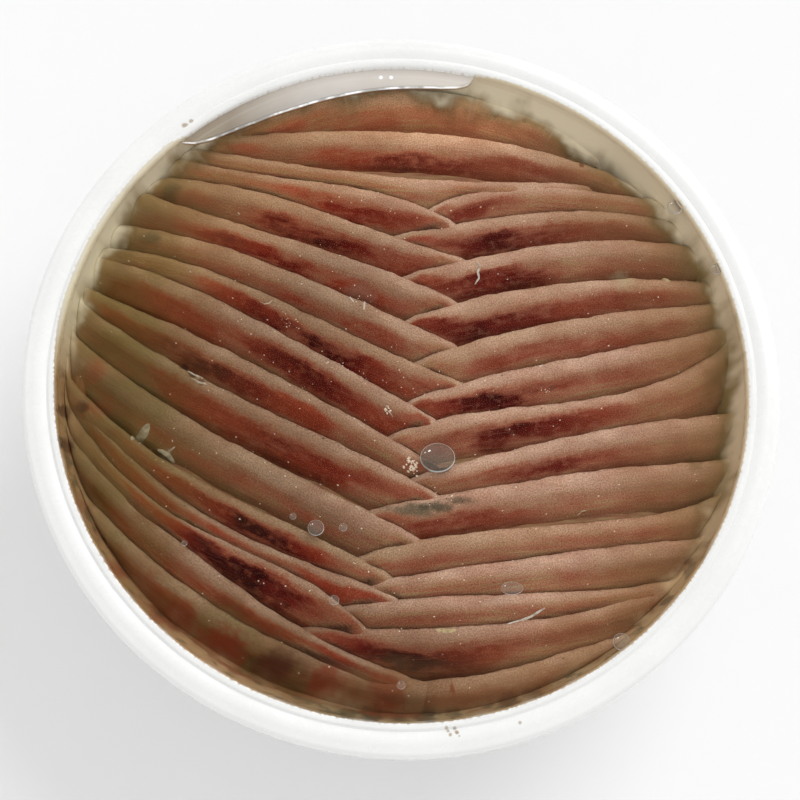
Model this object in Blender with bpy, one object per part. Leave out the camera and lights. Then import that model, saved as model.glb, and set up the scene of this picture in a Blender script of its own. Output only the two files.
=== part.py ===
"""Sealed tub of anchovy fillets in oil.

A round shallow white tub with a sealing flange, a clear film welded over it, and a
herringbone layer of fillets that shows through the film. Metres, +Z up. The origin is
the middle of the tub's underside, +X runs to the right along the rows of fillets, and
+Y points from the front of the tub to its back.
"""
import math
import random
from collections import namedtuple

import bmesh
import bpy
from mathutils import Vector

# Tub
TUB_HEIGHT = 0.0500
FLANGE_RADIUS = 0.0950
FLANGE_THICKNESS = 0.0012
FLANGE_EDGE_ROUND = 0.0012
SKIRT_DROP = 0.0045
WALL = 0.0012
INNER_TOP_RADIUS = 0.0862
INNER_FOOT_RADIUS = 0.0795
CORNER_RADIUS = 0.0050
LIP_DROP = 0.0012
CORNER_HEIGHT = WALL + CORNER_RADIUS
WALL_LEAN = math.atan((INNER_TOP_RADIUS - INNER_FOOT_RADIUS) / (TUB_HEIGHT - LIP_DROP - CORNER_HEIGHT))
BEAD_INNER_RADIUS = 0.0870
BEAD_WIDTH = 0.0014
BEAD_RISE = 0.0005
SEGMENTS = 56
SHARP_ANGLE = math.radians(30)
CORNER_STEPS = 3
EDGE_STEPS = 2
MERGE = 0.00001

# Film
FILM_RADIUS = 0.0938
FILM_THICKNESS = 0.0004
GAP = 0.0003

# Fillets
FILLET_WIDTH = 0.0138
FILLET_THICKNESS = 0.0044
FILLET_TILT = math.radians(24)
FILLET_RINGS = 12
END_SIZE = 0.35
TAPER_SHARE = 0.22
END_SINK = 0.0035
END_RADIUS = 0.0808
SIDE_CLEARANCE = 0.0005
HEADROOM = 0.0012
DIP_START_RADIUS = 0.0560
END_DIP = 0.0075
CORE_DEPTH = 0.0058
CORE_EDGE_DEPTH = 0.0125
WALL_CLEARANCE = 0.0007
SEED = 7

# Hand of the packer: how much the fillets differ in width, tilt and level
WIDTH_SPREAD = 0.06
TILT_SPREAD = math.radians(2)
LEVEL_SPREAD = 0.0008

# The top edge of a fillet is y = height + slope t + bend t^2 + sway t^3 in millimetres, where
# t is its distance from the row's middle in spans. The edges are read one by one, because
# each fillet is laid by hand. A tip is where a fillet ends at the middle of the herringbone.
EDGE_SPAN = 0.040
MM = 0.001
REACH_STEPS = 400
NEARBY = 0.001
PAST_WALL = 100
BACK_MIDDLE = 0.005
BACK_ENDS = (-52, 60)
LEFT_MIDDLE = -0.032
RIGHT_MIDDLE = 0.038
Edge = namedtuple("Edge", "height slope bend sway tip", defaults=(0,))
BACK_EDGES = (
    Edge(80.5, -1.5, -11.0, 0.0), Edge(69.0, -2.5, -3.5, -1.0), Edge(55.5, -3.0, 2.5, 0.0),
)
LEFT_EDGES = (
    Edge(56.0, -6.0, 3.5, -7.0, 15), Edge(50.5, -13.0, -4.0, 2.5, 18), Edge(39.5, -13.0, 0.5, -2.5, 12),
    Edge(31.0, -16.5, -3.0, 1.0, 15), Edge(22.0, -19.5, -2.5, 2.5, 16), Edge(13.5, -22.5, -2.0, 1.0, 9),
    Edge(1.5, -22.0, -1.5, 0.0, 6), Edge(-9.0, -19.5, 1.5, -2.5, 10), Edge(-22.0, -21.0, 2.0, -2.5, 4),
    Edge(-35.5, -19.0, 1.0, -5.0, 0), Edge(-43.5, -17.5, 6.5, -5.5, -1), Edge(-47.0, -20.5, -7.5, -12.5, -9),
    Edge(-58.5, -26.0, 7.5, 0.5, 6), Edge(-65.0, -19.0, 9.0, -1.0, 8),
)
RIGHT_EDGES = (
    Edge(53.5, -1.0, -7.0, 6.5, 7), Edge(46.5, 3.5, -4.5, -1.5, -2), Edge(37.0, 6.0, -4.0, -1.0, 3),
    Edge(26.0, 5.5, -4.0, 1.0, 1), Edge(15.5, 8.0, -3.0, 1.5, 2), Edge(5.0, 8.5, -1.0, 2.0, 1),
    Edge(-6.0, 4.5, 3.0, 6.0, -2), Edge(-15.5, 9.0, -1.5, 0.0, 3), Edge(-25.0, 6.0, -1.0, 0.0, -1),
    Edge(-37.5, 3.5, 1.5, 3.0, -2), Edge(-44.5, 6.0, -0.5, -0.5, -1), Edge(-54.0, 2.5, 2.0, 1.5, -12),
    Edge(-59.5, 8.0, 5.5, 1.0, -23), Edge(-69.0, 12.0, 2.0, -4.0, -1),
)

# One cross-section: how far across from the high edge, and how far out in half thicknesses
SECTION = (
    (0.00, -0.10), (0.08, 0.60), (0.28, 1.00), (0.56, 0.90),
    (0.82, 0.45), (1.00, -0.15), (0.62, -0.80), (0.16, -0.85),
)


Row = namedtuple("Row", "middle edge start end")


def clear_scene():
    """Remove whatever the file holds."""
    for item in list(bpy.data.objects):
        bpy.data.objects.remove(item, do_unlink=True)


def material(name, colour, roughness, alpha=1.0):
    """A plain Principled material."""
    made = bpy.data.materials.new(name)
    made.use_nodes = True
    shader = made.node_tree.nodes["Principled BSDF"]
    shader.inputs["Base Color"].default_value = (*colour, 1.0)
    shader.inputs["Roughness"].default_value = roughness
    shader.inputs["Metallic"].default_value = 0.0
    shader.inputs["Alpha"].default_value = alpha
    return made


def new_object(name, work, made_of):
    """Turn a bmesh into a named object with one material."""
    mesh = bpy.data.meshes.new(name)
    bmesh.ops.recalc_face_normals(work, faces=work.faces)
    work.to_mesh(mesh)
    work.free()
    mesh.materials.append(made_of)
    thing = bpy.data.objects.new(name, mesh)
    bpy.context.scene.collection.objects.link(thing)
    return thing


def arc(centre, radius, start, end, steps):
    """Points of an arc in the (radius, height) plane, angles in degrees."""
    points = []
    for step in range(steps + 1):
        angle = math.radians(start + (end - start) * step / steps)
        points.append((centre[0] + radius * math.cos(angle), centre[1] + radius * math.sin(angle)))
    return points


def turned(name, profile, segments, made_of):
    """Spin an outline of (radius, height) points that starts and ends on the Z axis."""
    work = bmesh.new()
    points = [work.verts.new((radius, 0.0, height)) for radius, height in profile]
    edges = [work.edges.new(pair) for pair in zip(points, points[1:])]
    bmesh.ops.spin(work, geom=points + edges, cent=(0, 0, 0), axis=(0, 0, 1), angle=math.tau, steps=segments)
    bmesh.ops.remove_doubles(work, verts=work.verts, dist=MERGE)
    return new_object(name, work, made_of)


def inner_radius(height):
    """Radius of the tub's inner wall at a height above its rounded corner."""
    return INNER_FOOT_RADIUS + (height - CORNER_HEIGHT) * math.tan(WALL_LEAN)


def build_tub():
    """Tub with its bead, flange and down-turned skirt, one wall all round."""
    band = TUB_HEIGHT - BEAD_RISE
    under = band - FLANGE_THICKNESS
    bead_end = BEAD_INNER_RADIUS + BEAD_WIDTH
    corner = (INNER_FOOT_RADIUS - CORNER_RADIUS / math.cos(WALL_LEAN), CORNER_HEIGHT)
    wall_end = -math.degrees(WALL_LEAN)
    profile = [(0.0, WALL)]
    profile += arc(corner, CORNER_RADIUS, -90, wall_end, CORNER_STEPS)
    profile.append((INNER_TOP_RADIUS, TUB_HEIGHT - LIP_DROP))
    profile.append((BEAD_INNER_RADIUS, TUB_HEIGHT))
    profile.append((bead_end, TUB_HEIGHT))
    profile.append((bead_end + BEAD_RISE, band))
    edge = (FLANGE_RADIUS - FLANGE_EDGE_ROUND, band - FLANGE_EDGE_ROUND)
    profile += arc(edge, FLANGE_EDGE_ROUND, 90, 0, EDGE_STEPS)
    profile.append((FLANGE_RADIUS, TUB_HEIGHT - SKIRT_DROP))
    profile.append((FLANGE_RADIUS - WALL, TUB_HEIGHT - SKIRT_DROP))
    profile.append((FLANGE_RADIUS - WALL, under))
    profile.append((inner_radius(under) + WALL / math.cos(WALL_LEAN), under))
    profile += arc(corner, CORNER_RADIUS + WALL, wall_end, -90, CORNER_STEPS)
    profile.append((0.0, 0.0))
    tub = turned("tub", profile, SEGMENTS, material("tub_white", (0.88, 0.88, 0.86), 0.28))
    tub.data.shade_smooth()
    tub.data.set_sharp_from_angle(angle=SHARP_ANGLE)


def build_film():
    """Clear lid film, welded on the flange from the bead outwards."""
    bottom = TUB_HEIGHT + GAP
    top = bottom + FILM_THICKNESS
    profile = [(0.0, bottom), (FILM_RADIUS, bottom), (FILM_RADIUS, top), (0.0, top)]
    turned("film", profile, SEGMENTS, material("clear_film", (0.95, 0.95, 0.93), 0.08, alpha=0.25))


def dip(radius):
    """How far the layer sinks on its way from the middle to the wall."""
    share = (radius - DIP_START_RADIUS) / (INNER_TOP_RADIUS - DIP_START_RADIUS)
    share = min(max(share, 0.0), 1.0)
    return END_DIP * share * share * (3 - 2 * share)


def build_core(made_of):
    """The filling under the top layer, out to just inside the wall."""
    layer_top = TUB_HEIGHT - HEADROOM
    edge = layer_top - CORE_EDGE_DEPTH
    bottom = WALL + GAP
    profile = [(0.0, bottom), (INNER_FOOT_RADIUS - CORNER_RADIUS - WALL_CLEARANCE, bottom)]
    profile.append((inner_radius(CORNER_HEIGHT) - WALL_CLEARANCE, CORNER_HEIGHT))
    profile.append((inner_radius(edge) - WALL_CLEARANCE, edge))
    profile.append((DIP_START_RADIUS, layer_top - CORE_DEPTH))
    profile.append((0.0, layer_top - CORE_DEPTH))
    return turned("fillets", profile, SEGMENTS // 2, made_of)


def blend(ends, share):
    """Value between two ends."""
    return ends[0] + (ends[1] - ends[0]) * share


def lay_plan():
    """Rows in the order they are laid: the back ones, then right and left in turn."""
    plan = [Row(BACK_MIDDLE, edge, *BACK_ENDS) for edge in BACK_EDGES]
    for left, right in zip(LEFT_EDGES, RIGHT_EDGES):
        plan.append(Row(RIGHT_MIDDLE, right, right.tip, PAST_WALL))
        plan.append(Row(LEFT_MIDDLE, left, -PAST_WALL, left.tip))
    return plan


def edge_point(row, x):
    """Point of a fillet's top edge at x, as a plan view position."""
    edge = row.edge
    away = (x - row.middle) / EDGE_SPAN
    rise = edge.height + edge.slope * away + edge.bend * away ** 2 + edge.sway * away ** 3
    return Vector((x, rise * MM, 0.0))


def edge_reach(row):
    """The stretch of x, between a row's ends, where its top edge stays inside the wall."""
    inside = []
    for step in range(REACH_STEPS + 1):
        x = blend((row.start * MM, row.end * MM), step / REACH_STEPS)
        if edge_point(row, x).length < END_RADIUS:
            inside.append(x)
    return inside[0], inside[-1]


def end_taper(share):
    """Size of a fillet along its length: rounded in over its last parts."""
    near = min(share, 1.0 - share) / TAPER_SHARE
    if near > 1.0:
        return 1.0
    return END_SIZE + (1.0 - END_SIZE) * math.sin(near * math.pi / 2)


def room(edge, level, limit):
    """How far it is from a point, in a level direction, to a circle about the Z axis."""
    lean = edge.dot(level)
    return math.sqrt(lean * lean + limit * limit - edge.length_squared) - lean


def fillet(row, draw, made_of):
    """One fillet: rings along its top edge, tilted so that its far edge lies high."""
    reach = edge_reach(row)
    width = FILLET_WIDTH * draw.uniform(1 - WIDTH_SPREAD, 1 + WIDTH_SPREAD)
    tilt = FILLET_TILT + draw.uniform(-TILT_SPREAD, TILT_SPREAD)
    layer_top = TUB_HEIGHT - HEADROOM - draw.uniform(0.0, LEVEL_SPREAD)
    work = bmesh.new()
    rings = []
    for step in range(FILLET_RINGS):
        share = step / (FILLET_RINGS - 1)
        x = blend(reach, share)
        edge = edge_point(row, x)
        along = (edge_point(row, x + NEARBY) - edge_point(row, x - NEARBY)).normalized()
        level = Vector((along.y, -along.x, 0.0))
        across = level * math.cos(tilt) - Vector((0, 0, math.sin(tilt)))
        out = level * math.sin(tilt) + Vector((0, 0, math.cos(tilt)))
        size = end_taper(share)
        thickness = FILLET_THICKNESS * size
        height = layer_top - FILLET_THICKNESS / 2 - dip((edge + level * width / 2).length)
        low = height - width * math.sin(tilt) - thickness
        space = room(edge, level, inner_radius(low) - WALL_CLEARANCE) - SIDE_CLEARANCE
        full = min(width, space / math.cos(tilt))
        here = full * size
        start = edge + level * (full - here) / 2
        start.z = height - END_SINK * (1 - size)
        ring = []
        for over, thick in SECTION:
            ring.append(work.verts.new(start + across * over * here + out * thick * thickness / 2))
        rings.append(ring)
    count = len(SECTION)
    for ring, following in zip(rings, rings[1:]):
        for spot in range(count):
            after = (spot + 1) % count
            work.faces.new((ring[spot], ring[after], following[after], following[spot]))
    work.faces.new(rings[0])
    work.faces.new(rings[-1])
    return new_object("laid_fillet", work, made_of)


def fuse(base, loose):
    """Union a collection of closed pieces into the base, then drop the pieces and scraps."""
    union = base.modifiers.new("Fuse", "BOOLEAN")
    union.operation = "UNION"
    union.operand_type = "COLLECTION"
    union.collection = loose
    union.solver = "EXACT"
    union.use_self = True
    evaluated = base.evaluated_get(bpy.context.evaluated_depsgraph_get())
    fused = bpy.data.meshes.new_from_object(evaluated)
    base.modifiers.clear()
    base.data = fused
    for item in list(loose.objects):
        bpy.data.objects.remove(item, do_unlink=True)
    bpy.data.collections.remove(loose)
    keep_largest_island(base)


def keep_largest_island(thing):
    """Keep the one connected surface with the most faces: sealed hollows and scraps go."""
    work = bmesh.new()
    work.from_mesh(thing.data)
    unseen = set(work.faces)
    islands = []
    while unseen:
        queue = [unseen.pop()]
        island = set(queue)
        while queue:
            face = queue.pop()
            for edge in face.edges:
                for neighbour in edge.link_faces:
                    if neighbour in unseen:
                        unseen.discard(neighbour)
                        island.add(neighbour)
                        queue.append(neighbour)
        islands.append(island)
    islands.sort(key=len, reverse=True)
    extra = [face for island in islands[1:] for face in island]
    bmesh.ops.delete(work, geom=extra, context="FACES")
    work.to_mesh(thing.data)
    work.free()


def build_fillets():
    """Core and top layer, fused into one heap."""
    draw = random.Random(SEED)
    made_of = material("cured_fillet", (0.28, 0.13, 0.09), 0.42)
    core = build_core(made_of)
    loose = bpy.data.collections.new("laid_fillets")
    bpy.context.scene.collection.children.link(loose)
    for row in lay_plan():
        piece = fillet(row, draw, made_of)
        bpy.context.scene.collection.objects.unlink(piece)
        loose.objects.link(piece)
    fuse(core, loose)
    core.data.shade_smooth()
    core.data.set_sharp_from_angle(angle=SHARP_ANGLE)


clear_scene()
build_tub()
build_film()
build_fillets()
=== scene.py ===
"""Looks of a sealed tub of anchovy fillets in oil.

A glossy white tub closed by a clear film. Under the film, in cloudy oil, lies a herringbone
of cured fillets with tan backs and maroon flanks. Metres, +Z up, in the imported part's frame.
"""

import math
import random
from collections import namedtuple

import bmesh
import bpy
import numpy as np
from mathutils import Matrix, Vector
from mathutils.bvhtree import BVHTree


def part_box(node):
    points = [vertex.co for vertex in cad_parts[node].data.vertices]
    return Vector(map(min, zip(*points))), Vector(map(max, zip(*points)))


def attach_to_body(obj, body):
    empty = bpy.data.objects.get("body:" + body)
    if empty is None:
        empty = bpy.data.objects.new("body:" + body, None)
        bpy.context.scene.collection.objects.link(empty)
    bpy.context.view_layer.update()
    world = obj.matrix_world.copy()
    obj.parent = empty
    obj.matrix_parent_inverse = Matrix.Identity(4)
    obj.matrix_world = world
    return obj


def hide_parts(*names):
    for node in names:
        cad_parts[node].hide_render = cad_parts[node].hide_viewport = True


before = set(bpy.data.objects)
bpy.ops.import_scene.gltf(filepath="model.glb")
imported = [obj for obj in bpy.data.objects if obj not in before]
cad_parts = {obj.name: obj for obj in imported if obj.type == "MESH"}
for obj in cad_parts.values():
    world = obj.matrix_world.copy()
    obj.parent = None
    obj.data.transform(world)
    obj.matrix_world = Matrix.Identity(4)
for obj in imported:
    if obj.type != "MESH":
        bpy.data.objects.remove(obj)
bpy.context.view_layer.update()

MM = 0.001
_, TUB_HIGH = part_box("tub")
FILM_LOW, FILM_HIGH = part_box("film")

# Camera, fitted to the tub's outlines in the photo
CAMERA_DISTANCE = 0.5
CAMERA_LENS = 90.3
CAMERA_ELEVATION = math.radians(71.6)
CAMERA_AZIMUTH = math.radians(-7.0)
CAMERA_TARGET = Vector((-0.001, -0.0063, 0.050))

# Tub
TUB_HEIGHT = TUB_HIGH.z
FLANGE_RADIUS = TUB_HIGH.x
FLANGE_THICKNESS = 0.0012
FLANGE_ROUND = 0.0016
FLANGE_CROWN = 0.0006
SKIRT_DROP = 0.0045
SKIRT_ROUND = 0.0004
WALL = 0.0012
INNER_TOP_RADIUS = 0.0862
INNER_FOOT_RADIUS = 0.0795
CORNER_RADIUS = 0.0050
CORNER_HEIGHT = WALL + CORNER_RADIUS
LIP_DROP = 0.0012
WALL_LEAN = math.atan((INNER_TOP_RADIUS - INNER_FOOT_RADIUS) / (TUB_HEIGHT - LIP_DROP - CORNER_HEIGHT))
BEAD_INNER_RADIUS = 0.0870
BEAD_WIDTH = 0.0014
BEAD_RISE = 0.0005
BEAD_ROUND = 0.0006
BEAD_SHOULDER = 0.0004
UNDER_ROUND = 0.0008
TUB_SEGMENTS = 288
FLUTES = 96
FLUTE_DEPTH = 0.00012
FLOOR_RINGS = (0.0, 0.035, 0.060)
BASE_RING = 0.0640
BASE_SLOPE = 0.0015
BASE_RINGS = (BASE_RING, 0.030, 0.0)
BASE_RECESS = 0.0005
CORNER_CENTRE = (INNER_FOOT_RADIUS - CORNER_RADIUS / math.cos(WALL_LEAN), CORNER_HEIGHT)
LIP_LOW = TUB_HEIGHT - LIP_DROP
# Wide enough to find the vertices of one height or radius
HAIR = 0.0001

# Where the white of the rim starts, at the inner edge of the weld: share of a turn from the
# left side, radius
WELD_EDGES = (
    (0, 0.0868), (0.05, 0.0867), (0.7, 0.0867), (0.715, 0.0858), (0.86, 0.0858), (0.87, 0.0874),
    (0.97, 0.0876), (1, 0.0868),
)
WELD_LOW = 0.0850
WELD_SPAN = 0.0040
# Radius at which the way along the wall is measured
WAY_RADIUS = 0.086

# Film and oil
FILM_RADIUS = FILM_HIGH.x
FILM_BODY = 0.00018
FILM_SEGMENTS = 420
# Rings of film and oil: radius, and how many rings up to it
FILM_RINGS = ((0.070, 16), (0.084, 14), (BEAD_INNER_RADIUS + 0.0020, 10))
FILM_EDGE_RINGS = 8
OIL_RINGS = ((0.060, 4), (0.0770, 4), (0.0872, 44))
FILM_WAVE = 0.00006
# The film is wavier near its weld: from what radius, and over what distance that grows
FILM_WAVE_RADIUS = 0.072
FILM_WAVE_FADE = 0.012
FILM_RAGGED = 0.00045
FILM_SCALLOP = 0.0004
FILM_WELD_WIDTH = 0.0010
OIL_GAP = 0.0001
OIL_SEGMENTS = 720
OIL_INTO_WALL = 0.0001
OIL_TOP = FILM_LOW.z - OIL_GAP

# Cloudy oil along the wall: its surface as (radius, height), rising towards the film
CLOUD_BANK = ((0.0808, 0.0370), (0.0828, 0.0402), (0.0842, 0.0428), (0.0852, 0.0452), (0.0858, 0.0472))
# It is wider at the back right, between two bearings
CLOUD_WIDE = (45.0, 84.0)
CLOUD_WIDE_FADE = 12.0
CLOUD_WIDENING = 0.0026
CLOUD_TOP = 0.0487
CLOUD_BOTTOM = 0.0350
CLOUD_SEGMENTS = 256
# Its colour by bearing: share of a turn from the left side, then red, green and blue
CLOUD_COLOURS = (
    (0, 148, 120, 84), (0.11, 142, 112, 76), (0.16, 168, 138, 104), (0.22, 140, 122, 94),
    (0.4, 184, 156, 120), (0.5, 224, 206, 178), (0.7, 226, 216, 192), (0.85, 222, 212, 192),
    (0.96, 212, 203, 175), (1, 160, 134, 98),
)

# Air pocket between film and oil, at the back left: bearing and radius of its inner edge
POCKET_EDGE = (
    (76.6, 87.4), (76.8, 85), (77.6, 83), (79.4, 81.8), (82, 81.1), (85.6, 80.6), (90, 80.2), (94.7, 79.9),
    (101.3, 79.4), (109.7, 79.1), (118, 79.6), (123, 80.4), (127.2, 81.6), (130, 83.4), (131.6, 85.6),
    (132, 87.4),
)
# It stops where its edge is beyond this radius
POCKET_NONE = 0.0873
POCKET_DEPTH = 0.0016
POCKET_BANK = 0.0012
POCKET_REACH = 0.004
# Painted shine line inside the air pocket at this radius, and the places of its two painted glints
SHINE_RADIUS = 0.0840
POCKET_GLINTS = (Vector((-0.0049, 0.0838, 0.0486)), Vector((-0.0022, 0.0838, 0.0486)))

# Fillets
FILLET_WIDTH = 0.0138
FILLET_THICKNESS = 0.0044
FILLET_TILT = math.radians(24)
FILLET_STEP = 0.0007
SECTION_TOP_POINTS = 22
SECTION_UNDER_POINTS = 11
# How a fillet ends: over what length it narrows, to what size, how deep it sinks and over what length
Ending = namedtuple("Ending", "taper size sink sink_length")
LEFT_TIP = Ending(0.014, 0.10, 0.0036, 0.0090)
RIGHT_TIP = Ending(0.018, 0.10, 0.0055, 0.0150)
AT_WALL = Ending(0.004, 0.85, 0.0, 0.0010)
BACK_RIGHT_END = Ending(0.020, 0.20, 0.0050, 0.0180)
LEFT_TIP_REACH = 0.005
RIGHT_TIP_REACH = 0.009
LAST_LEFT_TIP = 0.008
END_RADIUS = 0.0885
WALL_CLEARANCE = 0.0005
WALL_SQUEEZE = 0.0022
HEADROOM = 0.0012
DIP_START_RADIUS = 0.0560
END_DIP = 0.0032
DIP_LEAN = 0.20
CORE_DEPTH = 0.0062
CORE_EDGE_DEPTH = 0.0128
CORE_LIFT = 0.0003
CORE_SEGMENTS = 144
CORE_BANK_RINGS = 20
CORE_TOP_RINGS = 12
WIDTH_SPREAD = 0.06
TILT_SPREAD = math.radians(2)
LEVEL_SPREAD = 0.0007
SEED = 7

# The top edge of a fillet is y = height + slope t + bend t^2 + sway t^3 in millimetres,
# where t is the distance from the row's middle in spans. They are read one by one,
# because each fillet is laid by hand.
EDGE_SPAN = 0.040
BACK_MIDDLE = 0.005
LEFT_MIDDLE = -0.032
RIGHT_MIDDLE = 0.038
Edge = namedtuple("Edge", "height slope bend sway")
BACK_EDGES = [Edge(*row) for row in (
    (82.5, -1.5, -10, 0), (69, -2.5, -3.5, -1), (55.5, -3, 2.5, 0),
)]
BACK_ENDS = ((-0.050, 0.060), (-0.060, 0.070), (-0.064, 0.058))
LEFT_EDGES = [Edge(*row) for row in (
    (56, -6, 3.5, -7), (50.5, -13, -4, 2.5), (39.5, -13, 0.5, -2.5), (31, -16.5, -3, 1),
    (22, -19.5, -2.5, 2.5), (13.5, -22.5, -2, 1), (1.5, -22, -1.5, 0), (-9, -19.5, 1.5, -2.5),
    (-22, -21, 2, -2.5), (-35.5, -19, 1, -5), (-43.5, -17.5, 6.5, -5.5), (-47, -20.5, -7.5, -12.5),
    (-58.5, -26, 7.5, 0.5), (-65, -19, 9, -1),
)]
RIGHT_EDGES = [Edge(*row) for row in (
    (53.5, -1, -7, 6.5), (46.5, 3.5, -4.5, -1.5), (37, 6, -4, -1), (26, 5.5, -4, 1), (15.5, 8, -3, 1.5),
    (5, 8.5, -1, 2), (-6, 4.5, 3, 6), (-15.5, 9, -1.5, 0), (-25, 6, -1, 0), (-37.5, 3.5, 1.5, 3),
    (-44.5, 6, -0.5, -0.5), (-54, 2.5, 2, 1.5), (-59.5, 8, 5.5, 1), (-69, 12, 2, -4),
)]
# How dark the flank of each fillet is: its strength, where it starts as a share of the visible
# band, where it begins and stops along the row, how black it gets and where, in millimetres
Tone = namedtuple("Tone", "strength start first last black black_at")
BACK_TONES = [Tone(*row) for row in (
    (0.5, 0.28, -40, 40, 0.1, 10), (0.95, 0.36, -12, 30, 0.7, 4), (0.3, 0.4, -60, 60, 0, 0),
)]
LEFT_TONES = [Tone(*row) for row in (
    (0.9, 0.32, -20, -4, 0.4, -13), (0.95, 0.36, -29, 0, 0.8, -24), (0.95, 0.4, -48, -14, 0.6, -36),
    (0.7, 0.42, -44, -4, 0.2, -24), (1, 0.34, -40, 4, 0.9, -24), (0.95, 0.32, -76, 8, 0.6, -26),
    (0.95, 0.32, -70, -24, 0.6, -48), (1, 0.28, -60, -18, 0.5, -28), (0.52, 0.42, -76, -24, 0.1, -50),
    (1, 0.34, -56, -26, 0.9, -36), (0.8, 0.38, -68, -10, 0.25, -50), (1, 0.2, -60, -22, 1.1, -40),
    (0.75, 0.42, -76, -16, 0.3, -40), (0.8, 0.34, -66, -10, 0.7, -33),
)]
RIGHT_TONES = [Tone(*row) for row in (
    (0.85, 0.3, 12, 22, 0.4, 19), (1, 0.32, 16, 54, 0.65, 27), (0.95, 0.34, 4, 30, 0.6, 26),
    (1, 0.36, 8, 58, 0.7, 22), (0.7, 0.38, 24, 64, 0, 35), (1, 0.34, 4, 34, 0.7, 22),
    (0.95, 0.28, 20, 44, 0.6, 28), (0.8, 0.4, 22, 52, 0.4, 38), (0.8, 0.36, -10, 22, 0.3, 10),
    (0.45, 0.4, -6, 72, 0, 0), (0.5, 0.42, 40, 78, 0.1, 68), (0.48, 0.42, -14, 40, 0.1, 0),
    (1, 0.26, -14, 18, 0.9, 0), (0.6, 0.28, -8, 58, 0.1, 30),
)]
DEEP_TONE = Tone(0.95, -0.40, -95, 95, 0.5, -35)
TONE_FADE = 14.0
TONE_REST = 0.50
BLACK_SPAN = 16.0
# Visible bands: how near the next edge may be, how wide a band gets, how far short of its ends
# a fillet covers others, how far the painted crease shade reaches and in how wide a band it shows
NEXT_EDGE_LEAST = 0.0012
BAND_NARROWEST = 0.004
BAND_WIDEST = 0.0125
END_MARGIN = 0.002
CREASE_SHADE_REACH = 0.0013
CREASE_SHADE_BAND = 0.0018
CREASE_SHADE_FADE = 0.0025
# Keeps the noise of one row apart from that of the next
ROW_SHIFT = 0.0931
# Ends of deeper fillets that follow the wall: radius, first and last bearing, depth
Skirting = namedtuple("Skirting", "radius first last depth")
SKIRTING = [Skirting(*row) for row in (
    (0.08, 172, 203, 0.002), (0.0812, 192, 232, 0.0032), (0.0815, 222, 272, 0.0036),
    (0.0815, 262, 302, 0.0036), (0.0815, 296, 332, 0.0034),
)]

# Stains and patches in millimetres, and painted shadow in two of the flesh spots: place seen from
# above, size, softness of the edge, strength, colour and how far they are drawn out along x
Spot = namedtuple("Spot", "x y size soft share colour stretch", defaults=(1.0,))
OCHRE = (150, 120, 66)
DARK_GREEN = (66, 64, 38)
SKIN_GREY = (86, 80, 62)
BLOOD_BROWN = (112, 40, 20)
RIM_STAINS = [Spot(*row) for row in (
    (9, -87.9, 0.4, 0.4, 0.7, OCHRE), (9.4, -88.7, 0.35, 0.4, 0.6, OCHRE),
    (9.9, -89.6, 0.45, 0.4, 0.7, OCHRE), (11, -88, 0.35, 0.4, 0.7, OCHRE),
    (11.5, -89.1, 0.45, 0.4, 0.8, OCHRE), (12, -89.9, 0.3, 0.4, 0.5, OCHRE),
    (26.5, -86.9, 0.45, 0.4, 0.6, OCHRE), (-56, 69, 0.8, 0.6, 0.7, OCHRE),
    (-54.4, 70.2, 0.5, 0.5, 0.6, OCHRE),
)]
FLESH_SPOTS_AND_SHADOWS = [Spot(*row) for row in (
    (49.8, 64.6, 0.9, 0.8, 0.75, (70, 58, 22)), (53, 62.6, 1.1, 0.9, 0.8, (64, 52, 20)),
    (47.8, 60.3, 0.7, 0.5, 0.8, (104, 44, 22)), (25.4, 75.6, 0.9, 0.8, 0.5, DARK_GREEN),
    # The dark green spots at (-60.1, 52.8) and (-64.8, 39) are painted shadow in the gaps between the
    # fillet ends
    (33.3, 73.7, 0.8, 0.8, 0.5, DARK_GREEN), (-60.1, 52.8, 2.2, 3.4, 0.65, DARK_GREEN),
    (-64.8, 39, 2, 3.4, 0.55, DARK_GREEN, 1.4), (73.3, -21, 2.2, 2.4, 0.45, (96, 80, 38)),
    (57.1, 28, 2.6, 3.4, 0.55, (182, 168, 136)), (-77.6, 3.6, 2.8, 4, 0.5, (134, 66, 38)),
    (-75.8, -6, 2.4, 4, 0.45, (128, 66, 40)), (-80.6, -6.4, 1.6, 1.6, 0.7, (56, 28, 16)),
    (-83.2, -15, 2, 1.4, 0.7, (52, 28, 18)), (-65, -53.4, 4.6, 4, 0.6, (116, 58, 32)),
    (-56, -61, 5, 4, 0.65, BLOOD_BROWN), (-45, -68, 5.6, 4, 0.75, BLOOD_BROWN),
    (-31.6, -71.8, 3.4, 4.6, 0.75, (66, 22, 14), 1.6), (-19, -76.6, 4.6, 4, 0.7, BLOOD_BROWN),
    (-5, -78.4, 4.4, 4, 0.55, BLOOD_BROWN), (2, -33.8, 1.3, 1.4, 0.75, SKIN_GREY, 5),
    (7.6, -32.9, 1, 1.2, 0.75, (58, 58, 44), 4), (13.4, -31.6, 0.9, 1.1, 0.65, (62, 58, 44), 4),
    (-55.2, 4, 1, 0.7, 0.7, (60, 34, 22)), (-52.8, 1.6, 1.1, 0.7, 0.75, (50, 30, 20)),
    (-50.6, -0.6, 0.9, 0.7, 0.65, (64, 40, 26)), (-11, 24, 2.4, 3, 0.3, (140, 120, 104), 1.6),
    (-66, -13.8, 1.4, 2, 0.4, (158, 146, 98)), (-59.4, -18.4, 1.2, 1.8, 0.35, (158, 140, 116)),
)]
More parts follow.
